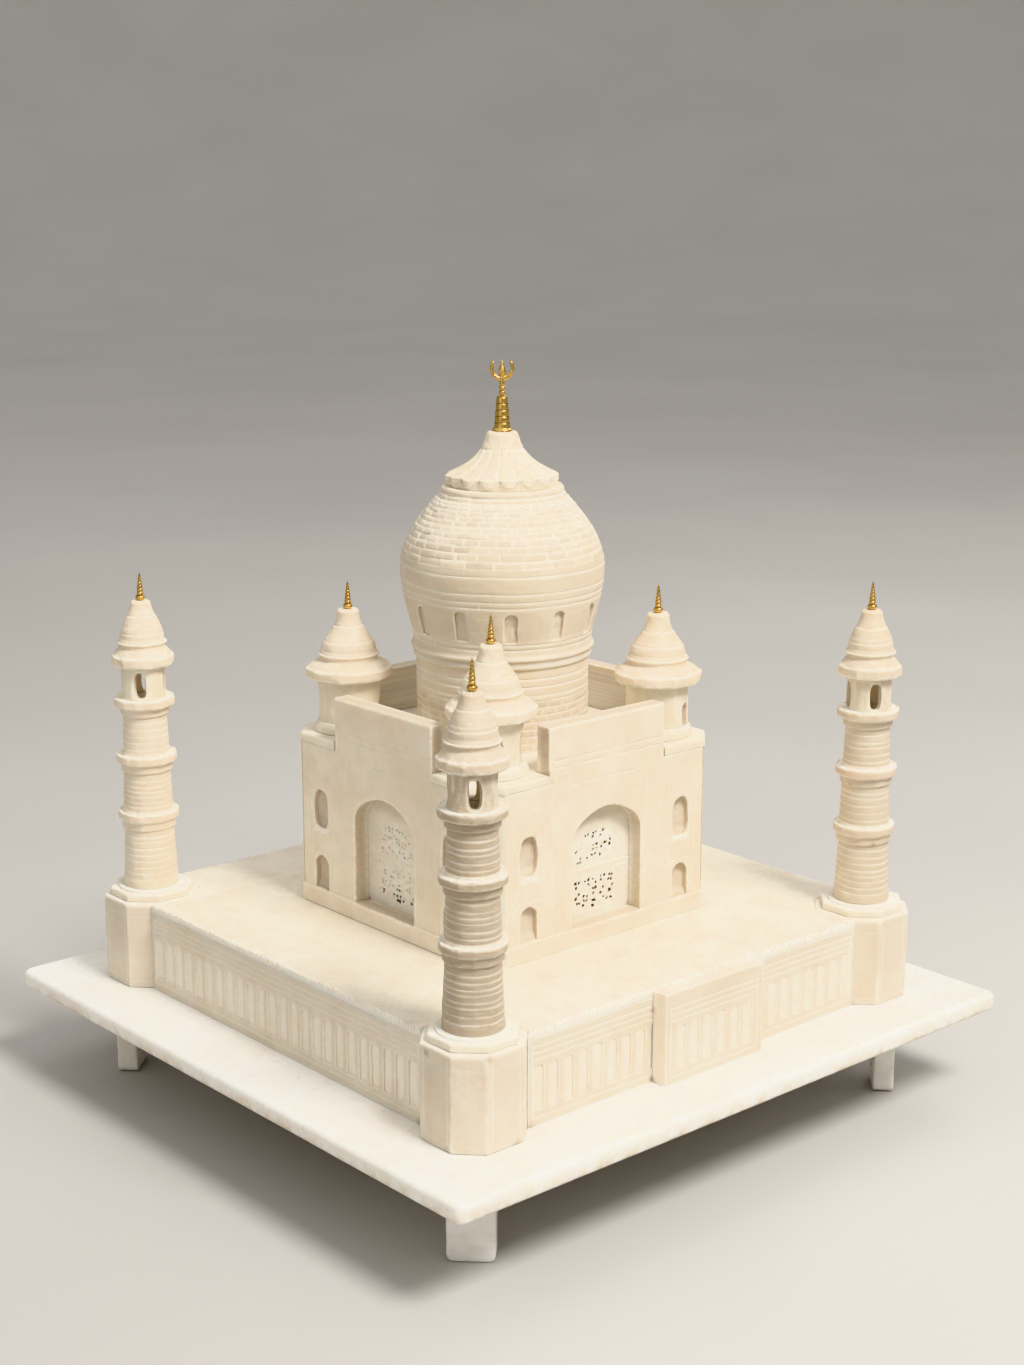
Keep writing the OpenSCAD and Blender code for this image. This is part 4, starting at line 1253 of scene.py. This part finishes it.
def make_minaret(i):
    axis = np.array(CORNER_SIGNS[i]) * BASTION_AT
    foot_r, top_r = 12.0, MINARET_TOP_R
    step = (foot_r - top_r) / 4
    floor = BALCONIES[2] + BALCONY_H - FLOOR_DROP
    seed = 300 + 13 * i
    shafts = (foot_r - 2 * step, foot_r - 3 * step, top_r)

    def balcony(z, shaft):
        b, collar, top = BALCONY_R, shaft + 1.1, z + BALCONY_H
        return [(shaft, z), (collar, z + 0.5), (collar, z + 3.4), (b - 0.8, z + 3.8), (b, z + 4.6),
                (b, top - 0.4), (b - 0.4, top), (b - 1.4, top), (b - 1.7, top - FLOOR_DROP),
                (shaft, top - FLOOR_DROP)]

    outline = [(0, -SPIGOT_L), (SPIGOT_R, -SPIGOT_L), (SPIGOT_R, 0), (foot_r, 0)]
    for z, shaft in zip(BALCONIES, shafts):
        outline += balcony(z, shaft)
    outline = soften([(r, Z_MINARET + z) for r, z in outline[:-1] + [(0, floor)]], 0.3)
    rings = []
    for k, (start, top) in enumerate(((2.0, BALCONIES[0]), (BALCONIES[0] + BALCONY_H, BALCONIES[1]),
                                      (BALCONIES[1] + BALCONY_H, BALCONIES[2]))):
        level = start + (2.2 if k == 0 else 2.6)
        while level < top - 1.5:
            rings.append(level)
            level += 2.1 + 1.2 * hashed(len(rings), i, k, 61)

    def shape(angle, r, z, points):
        level = z - Z_MINARET
        shaft = (r < foot_r + 0.01) & (r > SPIGOT_R + 1) & (level > 0.4)
        turning = level + 0.3 * rough(points, 12, seed, 1)
        line, course = stacked(turning, rings, seed)
        strength = np.clip(0.75 + 0.7 * rough(points, 8, seed + 1, 2), 0.25, 1)
        gap = -nearest(turning, rings)
        lip = 0.05 * np.where(gap > 0, np.exp(-gap / 0.9), 0)
        edge = unit((r - BALCONY_R + 2.6) / 1.6) * (level > 3)
        drum = unit((r - foot_r + 2 * step - 0.4) / 0.5) * (level > 3)
        lower, upper, under = (np.zeros_like(level) for _ in range(3))
        for z0 in BALCONIES:
            lower = np.maximum(lower, unit(1 - np.abs(level - z0 - 4.2) / 0.7))
            upper = np.maximum(upper, unit((level - z0 - BALCONY_H + 1.5) / 1.0) * (level < z0 + 9))
            under = np.maximum(under, unit(1 - np.abs(level - z0 - 0.2) / 0.8))
        floors = upper * (1 - edge) * (r > top_r - 0.2)
        gouge = unit(rough(points, 2.0, seed + 3) + 0.1)
        speck = unit(rough(points, 1.6, seed + 11) * 3 - 1.3)
        speck = speck * unit(rough(points, 9, seed + 12))
        amount = (shaft * (-0.22 * line * strength + lip + 0.12 * course)
                  + 0.08 * rough(points, 2.2, seed + 5) + 0.1 * rough(points * (1, 1, 0.2), 5, seed + 6)
                  - edge * (0.35 * facets_of(angle, 10, BALCONY_R, seed) + 0.85 * upper * gouge + 0.12)
                  + drum * 0.24 * rough(points, 3.5, seed + 9) - 0.5 * floors * gouge - 0.06)
        bright = shaft * 0.8 * line * strength + edge * (0.9 * upper + 0.5 * lower) + 0.9 * floors
        return np.where(level < 0, -0.02, amount), {
            "cut": unit(bright), "grime": np.clip(under * speck * 1.6, 0, 0.9), "tint": MINARET_SHADE[i]}

    carving = Carving()
    turned(carving, outline, axis, 132, shape, 0.38)
    openings = round_openings(LANTERN_TURNS[i], top_r, 2.75, Z_MINARET + floor + 0.8, 11.2, seed + 20, 0.25)
    tube(carving, axis, top_r, LANTERN_WALL, Z_MINARET + floor - 0.4, Z_LANTERN_TOP, openings, seed + 30,
         0.8 * MINARET_SHADE[i])
    make_piece(carving, "minaret_" + CORNERS[i], TURNED)


def make_pedestal(i):
    centre = np.array(CORNER_SIGNS[i]) * BASTION_AT
    node = "pedestal_" + CORNERS[i]
    low, high = mm_box(node)
    height = high[2] - low[2]
    wide, seat, seat_h = 18.3, 14.5, 0.9
    step_top = low[2] + height - seat_h
    corners = np.array(arc(centre, wide, 22.5, 382.5, 8)[:-1])

    def shape(points, outward, along):
        up = unit((points[..., 2] - step_top + 0.9) / 0.9)
        knocks = unit(rough(points, 2.6, 410 + i) - 0.1) * up
        amount = 0.22 * rough(points, 2.6, 400 + i) - 0.8 * knocks - 0.25
        return amount, {"cut": unit(0.3 + 0.6 * up + knocks)}

    carving = Carving()
    profile = [(0.4, low[2]), (0, low[2] + 0.4), (0, step_top - 0.5), (0.35, step_top)]
    prism(carving, corners, profile, 0.6, [circle(SPIGOT_R + 0.6, centre, 32)], shape, step_z=0.5)
    profile = [(0, step_top - 0.2), (0, high[2] - 0.3), (0.3, high[2])]
    prism(carving, circle(seat, centre, 96), profile, 1.2, [circle(SPIGOT_R + FIT, centre, 32)],
          uneven(0.15, 2.2, 420 + i, 0.8), step_z=0.4)
    make_piece(carving, node, CARVED)


# ---------------------------------------------------------------- drum, dome and lotus

DOME_COLUMNS = 600
drum_low, drum_high = mm_box("dome_drum")
dome_high = mm_box("dome_shell")[1]
Z_DOME, Z_LOTUS = drum_high[2], dome_high[2]
RIM_R = drum_high[0]
DRUM_R = RIM_R - 1.2
DOME_R = dome_high[0]
DOME_H = Z_LOTUS - Z_DOME
COLLAR_R, SWELL_Z, WIDEST_Z, WALL = 25.9, 6.7, 36.0, 6.0


def dome_radius(z):
    """Radius of the onion dome at a height above the drum."""
    low = unit((z - SWELL_Z) / (WIDEST_Z - SWELL_Z))
    high = unit((z - WIDEST_Z) / (DOME_H - 2.5 - WIDEST_Z))
    lower = RIM_R + (DOME_R - RIM_R) * np.sin(math.pi / 2 * low) ** 1.15
    upper = COLLAR_R + (DOME_R - COLLAR_R) * np.cos(math.pi / 2 * high)
    return np.where(z < WIDEST_Z, lower, upper)


def make_drum():
    inner = DRUM_R - WALL
    spigot = DRUM_HOLE_R - FIT
    height = Z_DOME - Z_ROOF
    spigot_end = drum_low[2] - Z_ROOF
    outline = soften([
        (inner, height), (inner, spigot_end), (spigot, spigot_end), (spigot, 0), (DRUM_R, 0),
        (DRUM_R, height - 2.2), (RIM_R, height - 1.2), (RIM_R, height), (inner, height)], 0.3)
    courses = [0.2 + 3.0 * k for k in range(8)]
    bands = (23.4, 27.2, 30.4)

    def shape(angle, r, z, points):
        level = z - Z_ROOF
        outer = (r > DRUM_R - 0.2) & (level > 0.3) & (level < height - 1)
        joint, tint, lift = brickwork(angle, level + 0.15 * rough(points, 9, 7, 1), courses,
                                      lambda m: DRUM_R + 0 * m, (32,), 3)
        joint = joint * np.clip(0.8 + 0.5 * rough(points, 7, 424, 2), 0.3, 1)
        line = np.maximum(joint, groove(nearest(level, bands), 0.9))
        amount = outer * (-0.36 * line + 0.18 * lift + 0.1 * rough(points, 2.4, 420))
        return amount, {"cut": outer * line, "tint": unit(0.15 + 0.4 * tint)}

    carving = Carving()
    turned(carving, outline + (0, Z_ROOF), (0, 0), 380, shape, 0.5)
    make_piece(carving, "dome_drum", TURNED)


NICHE_TURN, NICHE_STEP = -126.0, 30.0
NICHE_LOW, NICHE_TALL, NICHE_W = 10.3, 12.6, 5.3


def dome_courses():
    """Heights of the beds of the brick courses, which grow taller towards the bottom."""
    heights = [67.3]
    for k in range(12):
        heights.append(heights[-1] - 1.6 - 0.0145 * k * k)
    return heights[::-1]


def make_dome():
    """The onion dome, with brick courses over engraved rings and a band of blind niches."""
    crown = DOME_H - 2.5
    bead = arc((RIM_R - 0.3, 2.8), 1.3, -75, 75, 8)
    groove_z = crown - 1.4
    body = [(float(dome_radius(z)), z) for z in np.concatenate([
        np.linspace(SWELL_Z, WIDEST_Z, 30), np.linspace(WIDEST_Z, crown, 31)[1:]])]
    outline = [(RIM_R, 0.0)] + bead + body + [(COLLAR_R, DOME_H - 1), (COLLAR_R - 0.9, DOME_H - 0.05)]
    line = dense(soften(outline, 0.4), 0.1)
    length = np.concatenate([[0], np.cumsum(np.linalg.norm(np.diff(line, axis=0), axis=1))])
    tangent = np.gradient(line, axis=0)
    tangent /= np.linalg.norm(tangent, axis=1)[:, None]
    around = TURN * DOME_R
    courses = dome_courses()
    rings = (6.6, 8.8, 24.9, 27.4, 30.8, 37.9)

    def at(values, v):
        return np.interp(v, length, values)

    def place(u, v, depth):
        angle = u / DOME_R
        radius = at(line[:, 0], v) - depth * at(tangent[:, 1], v)
        z = at(line[:, 1], v) + depth * at(tangent[:, 0], v)
        sway = unit((z - 5) / 3) * unit((crown - 3 - z) / 4)
        z = z + 0.25 * sway * rough(polar(radius, angle, z), 11, 450, 1)
        return polar(radius, angle, Z_DOME + z)

    def length_at(z):
        body_from = np.searchsorted(line[:, 1], SWELL_Z)
        return np.interp(z, line[body_from:, 1], length[body_from:])

    low, high = length_at(NICHE_LOW), length_at(NICHE_LOW + NICHE_TALL)
    wide = NICHE_W / 2 * DOME_R / 40.0
    niches = []
    for k in range(12):
        middle = math.radians(NICHE_TURN + NICHE_STEP * k) % TURN * DOME_R
        outline = hand_cut(arch(wide, high - low, wide * 0.8, (middle, low), 10), 0.45, 440 + k, 4)
        niches += [outline + (shift, 0) for shift in (-around, 0, around)]

    def relief(u, v):
        points = place(u, v, 0 * u)
        z = at(line[:, 1], v)
        angle = u / DOME_R
        joint, tint, lift = brickwork(angle, z, courses, dome_radius, (20, 27, 31, 34), 11)
        patchy = np.clip(0.85 + 0.5 * rough(points, 8, 452, 2), 0.4, 1)
        ring = groove(nearest(z, rings), 0.8)
        line_here = np.maximum(joint, ring) * patchy
        bricks = (z > courses[0]) & (z < courses[-1])
        bright_rows = hashed(np.searchsorted(courses, z).astype(np.int64), 0, 0, 19)
        ledge = np.exp(-np.abs(z - groove_z + 1.6) / 0.5) + np.exp(-np.abs(z - groove_z - 1.2) / 0.5)
        depth = (0.34 * line_here - 0.3 * lift + 0.6 * groove(z - groove_z, 1.5)
                 + 0.09 * rough(points, 2.4, 455) + 0.12 * rough(points, 15, 457) + 0.03)
        tone = np.where(bricks, 0.12 + 0.5 * tint - 0.35 * (bright_rows > 0.78), 0.33)
        sill = np.exp(-np.abs(z - NICHE_LOW + 0.4) / 0.7) * 0.5
        return depth, {"cut": unit(line_here + 0.5 * ledge + sill), "tint": unit(tone)}

    def pocket(u, v):
        rise = unit((v - low) / (high - low))
        return 0.9 + 1.0 * rise + 0.35 * rough(points_of(u, v), 3, 459, 2)

    us = np.arange(DOME_COLUMNS) * around / DOME_COLUMNS
    top = length[-1]
    beds = np.concatenate([courses, rings, [groove_z]])
    vs = spread([0, top] + [float(length_at(bed + d)) for bed in beds for d in (-0.3, 0, 0.3)], 0.72)
    carving = Carving()
    # floor_masks paint shade on the walls and floors of the niches
    sheet(carving, us, vs, cells_of([], niches), niches, place, relief, None, pocket=pocket, wrap=around,
          edge=0.2, ends=False, floor_masks={"cut": 0.1, "tint": 0.35})
    first = place(us, 0 * us, relief(us, 0 * us)[0])
    last = place(us, 0 * us + top, relief(us, 0 * us + top)[0])
    angle = us / DOME_R
    inner = [(RIM_R - 1.2 - WALL, 0)]
    inner += [(float(dome_radius(z)) - WALL, z) for z in np.linspace(SWELL_Z, crown - WALL, 16)[:-1]]
    inner += [(0, crown - WALL)]
    crown_top = [(COLLAR_R - 3, DOME_H - 0.05), (0.0, DOME_H - 0.05)]
    carving.rings(np.concatenate([first[None], round_rings(inner, angle, Z_DOME)]))
    carving.rings(np.concatenate([last[None], round_rings(crown_top, angle, Z_DOME)]))
    make_piece(carving, "dome_shell", TURNED)


PETALS = 16


def make_lotus():
    """The lotus cap: ribbed petals that end in a drooping, saw-toothed lip under a hollow-sided cone."""
    low, high = mm_box("lotus_cap")
    height = high[2] - low[2]
    lip_r, cone_r, lip = 24.3, 6.6, 4.4
    slope = [(cone_r + (lip_r - cone_r) * (0.7 * s ** 3 + 0.3 * s), height - 0.8 - (height - 0.8 - lip) * s)
             for s in np.linspace(1, 0, 25)]
    outline = soften([(0, 0.05), (lip_r - 1.1, 0.05), (lip_r - 1.1, 0.9), (lip_r, 1.7), (lip_r, 3.4)] + slope
                     + [(cone_r - 0.8, height), (0, height)], 0.4)
    line = dense(outline, 0.5)
    around = PETALS * 24
    angle = np.arange(around) * TURN / around
    r, z = line[:, :1] + 0 * angle, line[:, 1:] + 0 * angle
    place = angle * PETALS / TURN + 0 * r
    petal_at = np.floor(place).astype(np.int64)
    luck = hashed(petal_at, 0, 0, 5)
    lean = 0.22 * (luck - 0.5)
    across = place - petal_at
    valley = unit(np.abs(2 * (across + lean * (1 - np.abs(2 * across - 1))) - 1))
    edge = unit((r - lip_r + 2.2) / 2.2) * unit((6.5 - z) / 2.5)
    hem = 0.6 + 0.7 * luck + (1.7 + 0.5 * luck) * valley ** 1.2  # height of the saw-toothed lower edge
    raised = np.where(r > lip_r - 0.9, np.maximum(z, hem) - z, 0) * (z < lip)
    far = unit((r - 8.2) / (lip_r - 8.2))
    points = polar(r, angle, z)
    marks = rough(points, 2.2, 470)
    notch = groove((1 - valley) * TURN * r / PETALS / 2, 1.3) * (z > 1.5) * (z < height - 7)
    ring = groove(z - (height - 7), 0.9)
    r = r - edge * (1.1 * valley ** 1.6 + 0.5 * luck)
    amount = (-(0.75 * far * valley ** 2.2 + 0.45 * notch) * (z < height - 7) - 0.35 * ring + 0.12 * marks
              + 0.15 * rough(points, 7, 474) - 0.15) * (z > 1.4) * unit(r / 3)
    z = np.minimum(z + raised, height) + low[2]
    points = polar(r, angle, z)
    masks = {"cut": unit(notch * 0.9 + ring + 0.25 * marks + 0.35 * edge)}
    carving = Carving()
    carving.rings(points + normals_of(points) * amount[..., None], masks)
    make_piece(carving, "lotus_cap", TURNED)


# ---------------------------------------------------------------- brass finials

def make_finial(node, axis):
    """A small turned finial: two beads and a tapering stem with rings."""
    low, high = mm_box(node)
    peg, peg_r = 4.0, 0.8
    z0 = low[2] + peg
    height = high[2] - z0
    stem = [(1.3 * (1 - 0.14 * j) * k, 4 + (height - 5.5) * (j + part) / 5) for j in range(5)
            for part, k in ((0, 1.0), (0.55, 0.96), (0.78, 0.74))]
    outline = ([(0, -peg), (peg_r, -peg), (peg_r, 0)] + arc((0.9, 1.1), 1.1, -85, 60, 8)
               + arc((0.6, 2.9), 0.8, -60, 60, 7) + stem + [(0.2, height - 1), (0, height)])
    rings = [4 + (height - 5.5) * (j + 0.78) / 5 for j in range(5)] + [2.05, 3.8]

    def shape(angle, r, z, points):
        level = z - z0
        return 0.02 * rough(points, 1.2, 490), {"cut": groove(nearest(level, rings), 0.7)}

    carving = Carving()
    turned(carving, soften([(r, z0 + z) for r, z in outline], 0.18), axis, 40, shape, 0.2)
    make_piece(carving, node, BRASS, 60)


def make_dome_finial():
    """The main finial: a ringed, flared stem, two beads, and a crescent with a spike in its middle."""
    low, high = mm_box("dome_finial")
    peg, peg_r = 6.0, 1.5
    z0 = low[2] + peg
    height = high[2] - z0
    stem, rings, bead, neck = 14.4, 5, 1.4, 1.1
    step = (stem - 1.2) / rings
    crescent_z, crescent_r = height - 3.3, 5.4
    outline = [(0, -peg), (peg_r, -peg), (peg_r, 0), (4.3, 0), (4.1, 0.6)]
    for k in range(rings):
        r, z = 3.4 - 0.24 * k, 1.2 + step * k
        outline += [(r, z), (r - 0.1, z + 0.66 * step), (r - 0.35, z + 0.85 * step)]
    for middle_z in (stem + bead, stem + 3.2):
        outline += arc((0.4, middle_z), bead - 0.4, -70, 70, 7)
    outline += [(neck, stem + 4.6), (neck, crescent_z - 4), (1.6, crescent_z - 1.5), (1.2, crescent_z),
                (0.25, height - 0.4), (0, height)]
    grooves = [1.2 + step * (k + 0.85) for k in range(rings)]

    def shape(angle, r, z, points):
        cut = groove(nearest(z - z0, grooves), 0.8) * (z - z0 < stem)
        return 0.03 * rough(points, 1.5, 495), {"cut": cut}

    carving = Carving()
    turned(carving, soften([(r, z0 + z) for r, z in outline], 0.22), (0, 0), 56, shape, 0.25)
    turn = math.radians(-41)
    wide = np.array([math.cos(turn), math.sin(turn), 0])
    flat = np.array([-math.sin(turn), math.cos(turn), 0])
    sweep = np.radians(np.linspace(-222, 42, 64))
    centre_r = crescent_r - 1.05
    loops = []
    for k, a in enumerate(sweep):
        t = abs(2 * k / (len(sweep) - 1) - 1)
        tip = math.sqrt(max(0.0, 1 - max(0.0, (t - 0.9) / 0.1) ** 2))
        half = (1.02 - 0.42 * t) * tip
        deep = min(0.98, half * 1.1)
        out = math.cos(a) * wide + math.sin(a) * np.array([0, 0, 1])
        middle = np.array([0, 0, z0 + crescent_z]) + out * centre_r
        around = np.linspace(0, TURN, 20, endpoint=False)
        loops.append(middle + half * np.cos(around)[:, None] * out + deep * np.sin(around)[:, None] * flat)
    carving.rings(np.array(loops))
    make_piece(carving, "dome_finial", BRASS, 60)


# ---------------------------------------------------------------- studio

VIEW_AZIMUTH, VIEW_ELEVATION, VIEW_DISTANCE = -41.3, 13.42, 0.925
VIEW_ASIDE, VIEW_HEIGHT = 0.0029, 0.568  # metres off the middle, share of the model's height
LENS = 57.26


def make_camera():
    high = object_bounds()[1]
    target = Vector((VIEW_ASIDE, -VIEW_ASIDE, high.z * VIEW_HEIGHT))
    a, e = math.radians(VIEW_AZIMUTH), math.radians(VIEW_ELEVATION)
    back = Vector((math.sin(a) * math.cos(e), -math.cos(a) * math.cos(e), math.sin(e)))
    data = bpy.data.cameras.new("camera")
    data.lens, data.clip_start, data.clip_end = LENS, 0.01, 20
    camera = new_object("camera", data)
    camera.location = target + back * VIEW_DISTANCE
    camera.rotation_mode = "QUATERNION"
    camera.rotation_quaternion = (-back).to_track_quat("-Z", "Y")
    bpy.context.scene.camera = camera


LIT = Vector((0, 0, 0.12))  # the point that the lights are turned to


def make_light(name, place, size, power, colour):
    data = bpy.data.lights.new(name, "AREA")
    data.shape, data.size, data.energy, data.color = "DISK", size, power, colour
    light = new_object(name, data)
    light.location = place
    light.rotation_mode = "QUATERNION"
    light.rotation_quaternion = (Vector(place) - LIT).to_track_quat("Z", "Y")


def make_studio():
    """A plain pale floor that curves up into a backdrop all round, and soft light."""
    radius, rise = 9.0, 5.0
    profile = [(0, 0), (0.4, 0), (radius - rise, 0)]
    profile += [(radius - rise + x, rise + z) for x, z in arc((0, 0), rise, -90, 0, 12)] + [(radius, 6.5)]
    carving = Carving()
    carving.rings(round_rings(profile, np.arange(64) * TURN / 64)[::-1])
    mesh = bpy.data.meshes.new("floor")
    mesh.from_pydata(np.concatenate(carving.points), [], carving.quads[0].tolist())
    mesh.validate()
    mesh.shade_smooth()
    s = Shader("floor", Specular_IOR_Level=0.2)
    tone = s.ramp(s.noise(400, 2), 0.3, 0.7)
    colour = s.mix(tone, rgb(0.50, 0.49, 0.475), rgb(0.53, 0.52, 0.505))
    roughness = s.ramp(s.noise(20, 2), 0.3, 0.7, 0.7, 0.8)
    mesh.materials.append(s.finish(colour, roughness, s.bump(s.noise(3, 2), 0.02, 0.1)))
    floor = new_object("floor", mesh)
    world = bpy.data.worlds.new("studio")
    world.use_nodes = True
    world.node_tree.nodes["Background"].inputs["Color"].default_value = rgb(1.0, 0.97, 0.93)
    world.node_tree.nodes["Background"].inputs["Strength"].default_value = 0.85
    bpy.context.scene.world = world
    bpy.context.scene.view_settings.view_transform = "Khronos PBR Neutral"
    make_light("key", (0.05, -1.1, 1.5), 0.6, 32, (1.0, 0.965, 0.91))
    make_light("fill", (-1.5, -0.5, 0.7), 1.2, 3, (1.0, 0.95, 0.88))
    make_light("side", (1.3, 0.3, 1.2), 0.7, 4, (1.0, 0.96, 0.90))


# ---------------------------------------------------------------- the whole model

make_camera()
make_studio()

inner_corner = BASTION_AT - BASTION_HALF
STAINS += [
    (-inner_corner - 1, -PLINTH_HALF, Z_PLINTH, 3.0, 0.55),
    (-PLINTH_HALF, -inner_corner - 1, Z_PLINTH, 3.0, 0.5),
    (inner_corner + 1, -PLINTH_HALF, Z_PLINTH, 2.5, 0.4),
    (-27.7, -PLINTH_HALF, Z_PLINTH + 1, 2.6, 0.6),
    (-27.7, -PLINTH_HALF, Z_PLINTH + 30, 1.6, 0.35),
    (-ARCH_HALF, -WALL_INNER, Z_DECK + BAND_H, 2.2, 0.5),
    (ARCH_HALF, -WALL_INNER, Z_DECK + BAND_H, 2.2, 0.4),
    (-WALL_INNER, ARCH_HALF, Z_DECK + BAND_H, 2.2, 0.5),
    (-WALL_INNER, -ARCH_HALF, Z_DECK + BAND_H, 2.2, 0.4),
    (-BASTION_AT - 6, -BASTION_AT - 7, Z_LANTERN_TOP + 1, 2.0, 0.5),
    (-PORTAL_HALF - 1, -WALL_HALF, Z_ROOF, 2.2, 0.5),
    (-BASTION_AT - 8, -BASTION_AT - BASTION_HALF, Z_DECK - 1, 2.0, 0.5),
    (-BASTION_AT - BASTION_HALF, -BASTION_AT + 5, Z_DECK - 3, 1.6, 0.7),
    (-PORTAL_HALF + 1, -WALL_HALF, Z_ROOF - 3, 1.5, 0.6),
    (-BASTION_AT + 5, -BASTION_AT - BASTION_HALF, Z_PLINTH, 2.2, 0.5),
    (-BASTION_AT - BASTION_HALF, -BASTION_AT - 6, Z_PLINTH, 1.8, 0.5),
]
for k in range(14):
    turn = TURN * hashed(k, 1, 2, 77)
    sign_x, sign_y = CORNER_SIGNS[k % 4]
    STAINS.append((sign_x * BASTION_AT + 11.6 * math.cos(turn), sign_y * BASTION_AT + 11.6 * math.sin(turn),
                   Z_MINARET + BALCONIES[k % 3] + 0.5, 1.0, 0.6))

make_base_slab()
make_deck()
make_stair_block()
make_roof()
for i in range(4):
    kiosk_axis = np.array(CORNER_SIGNS[i]) * KIOSK_AT
    minaret_axis = np.array(CORNER_SIGNS[i]) * BASTION_AT
    make_foot(i)
    make_plinth_wall(i)
    make_bastion(i)
    make_facade(i)
    make_corner_wall(i)
    make_jali(i)
    make_kiosk(i)
    make_cap("kiosk", i, kiosk_axis, body_r=KIOSK_R, neck_r=12.3, top_r=4.9, power=2.8)
    make_finial("kiosk_finial_" + CORNERS[i], kiosk_axis)
    make_pedestal(i)
    make_minaret(i)
    make_cap("minaret", i, minaret_axis, body_r=MINARET_TOP_R, neck_r=9.9, top_r=4.4, power=1.75)
    make_finial("minaret_finial_" + CORNERS[i], minaret_axis)
make_drum()
make_dome()
make_lotus()
make_dome_finial()
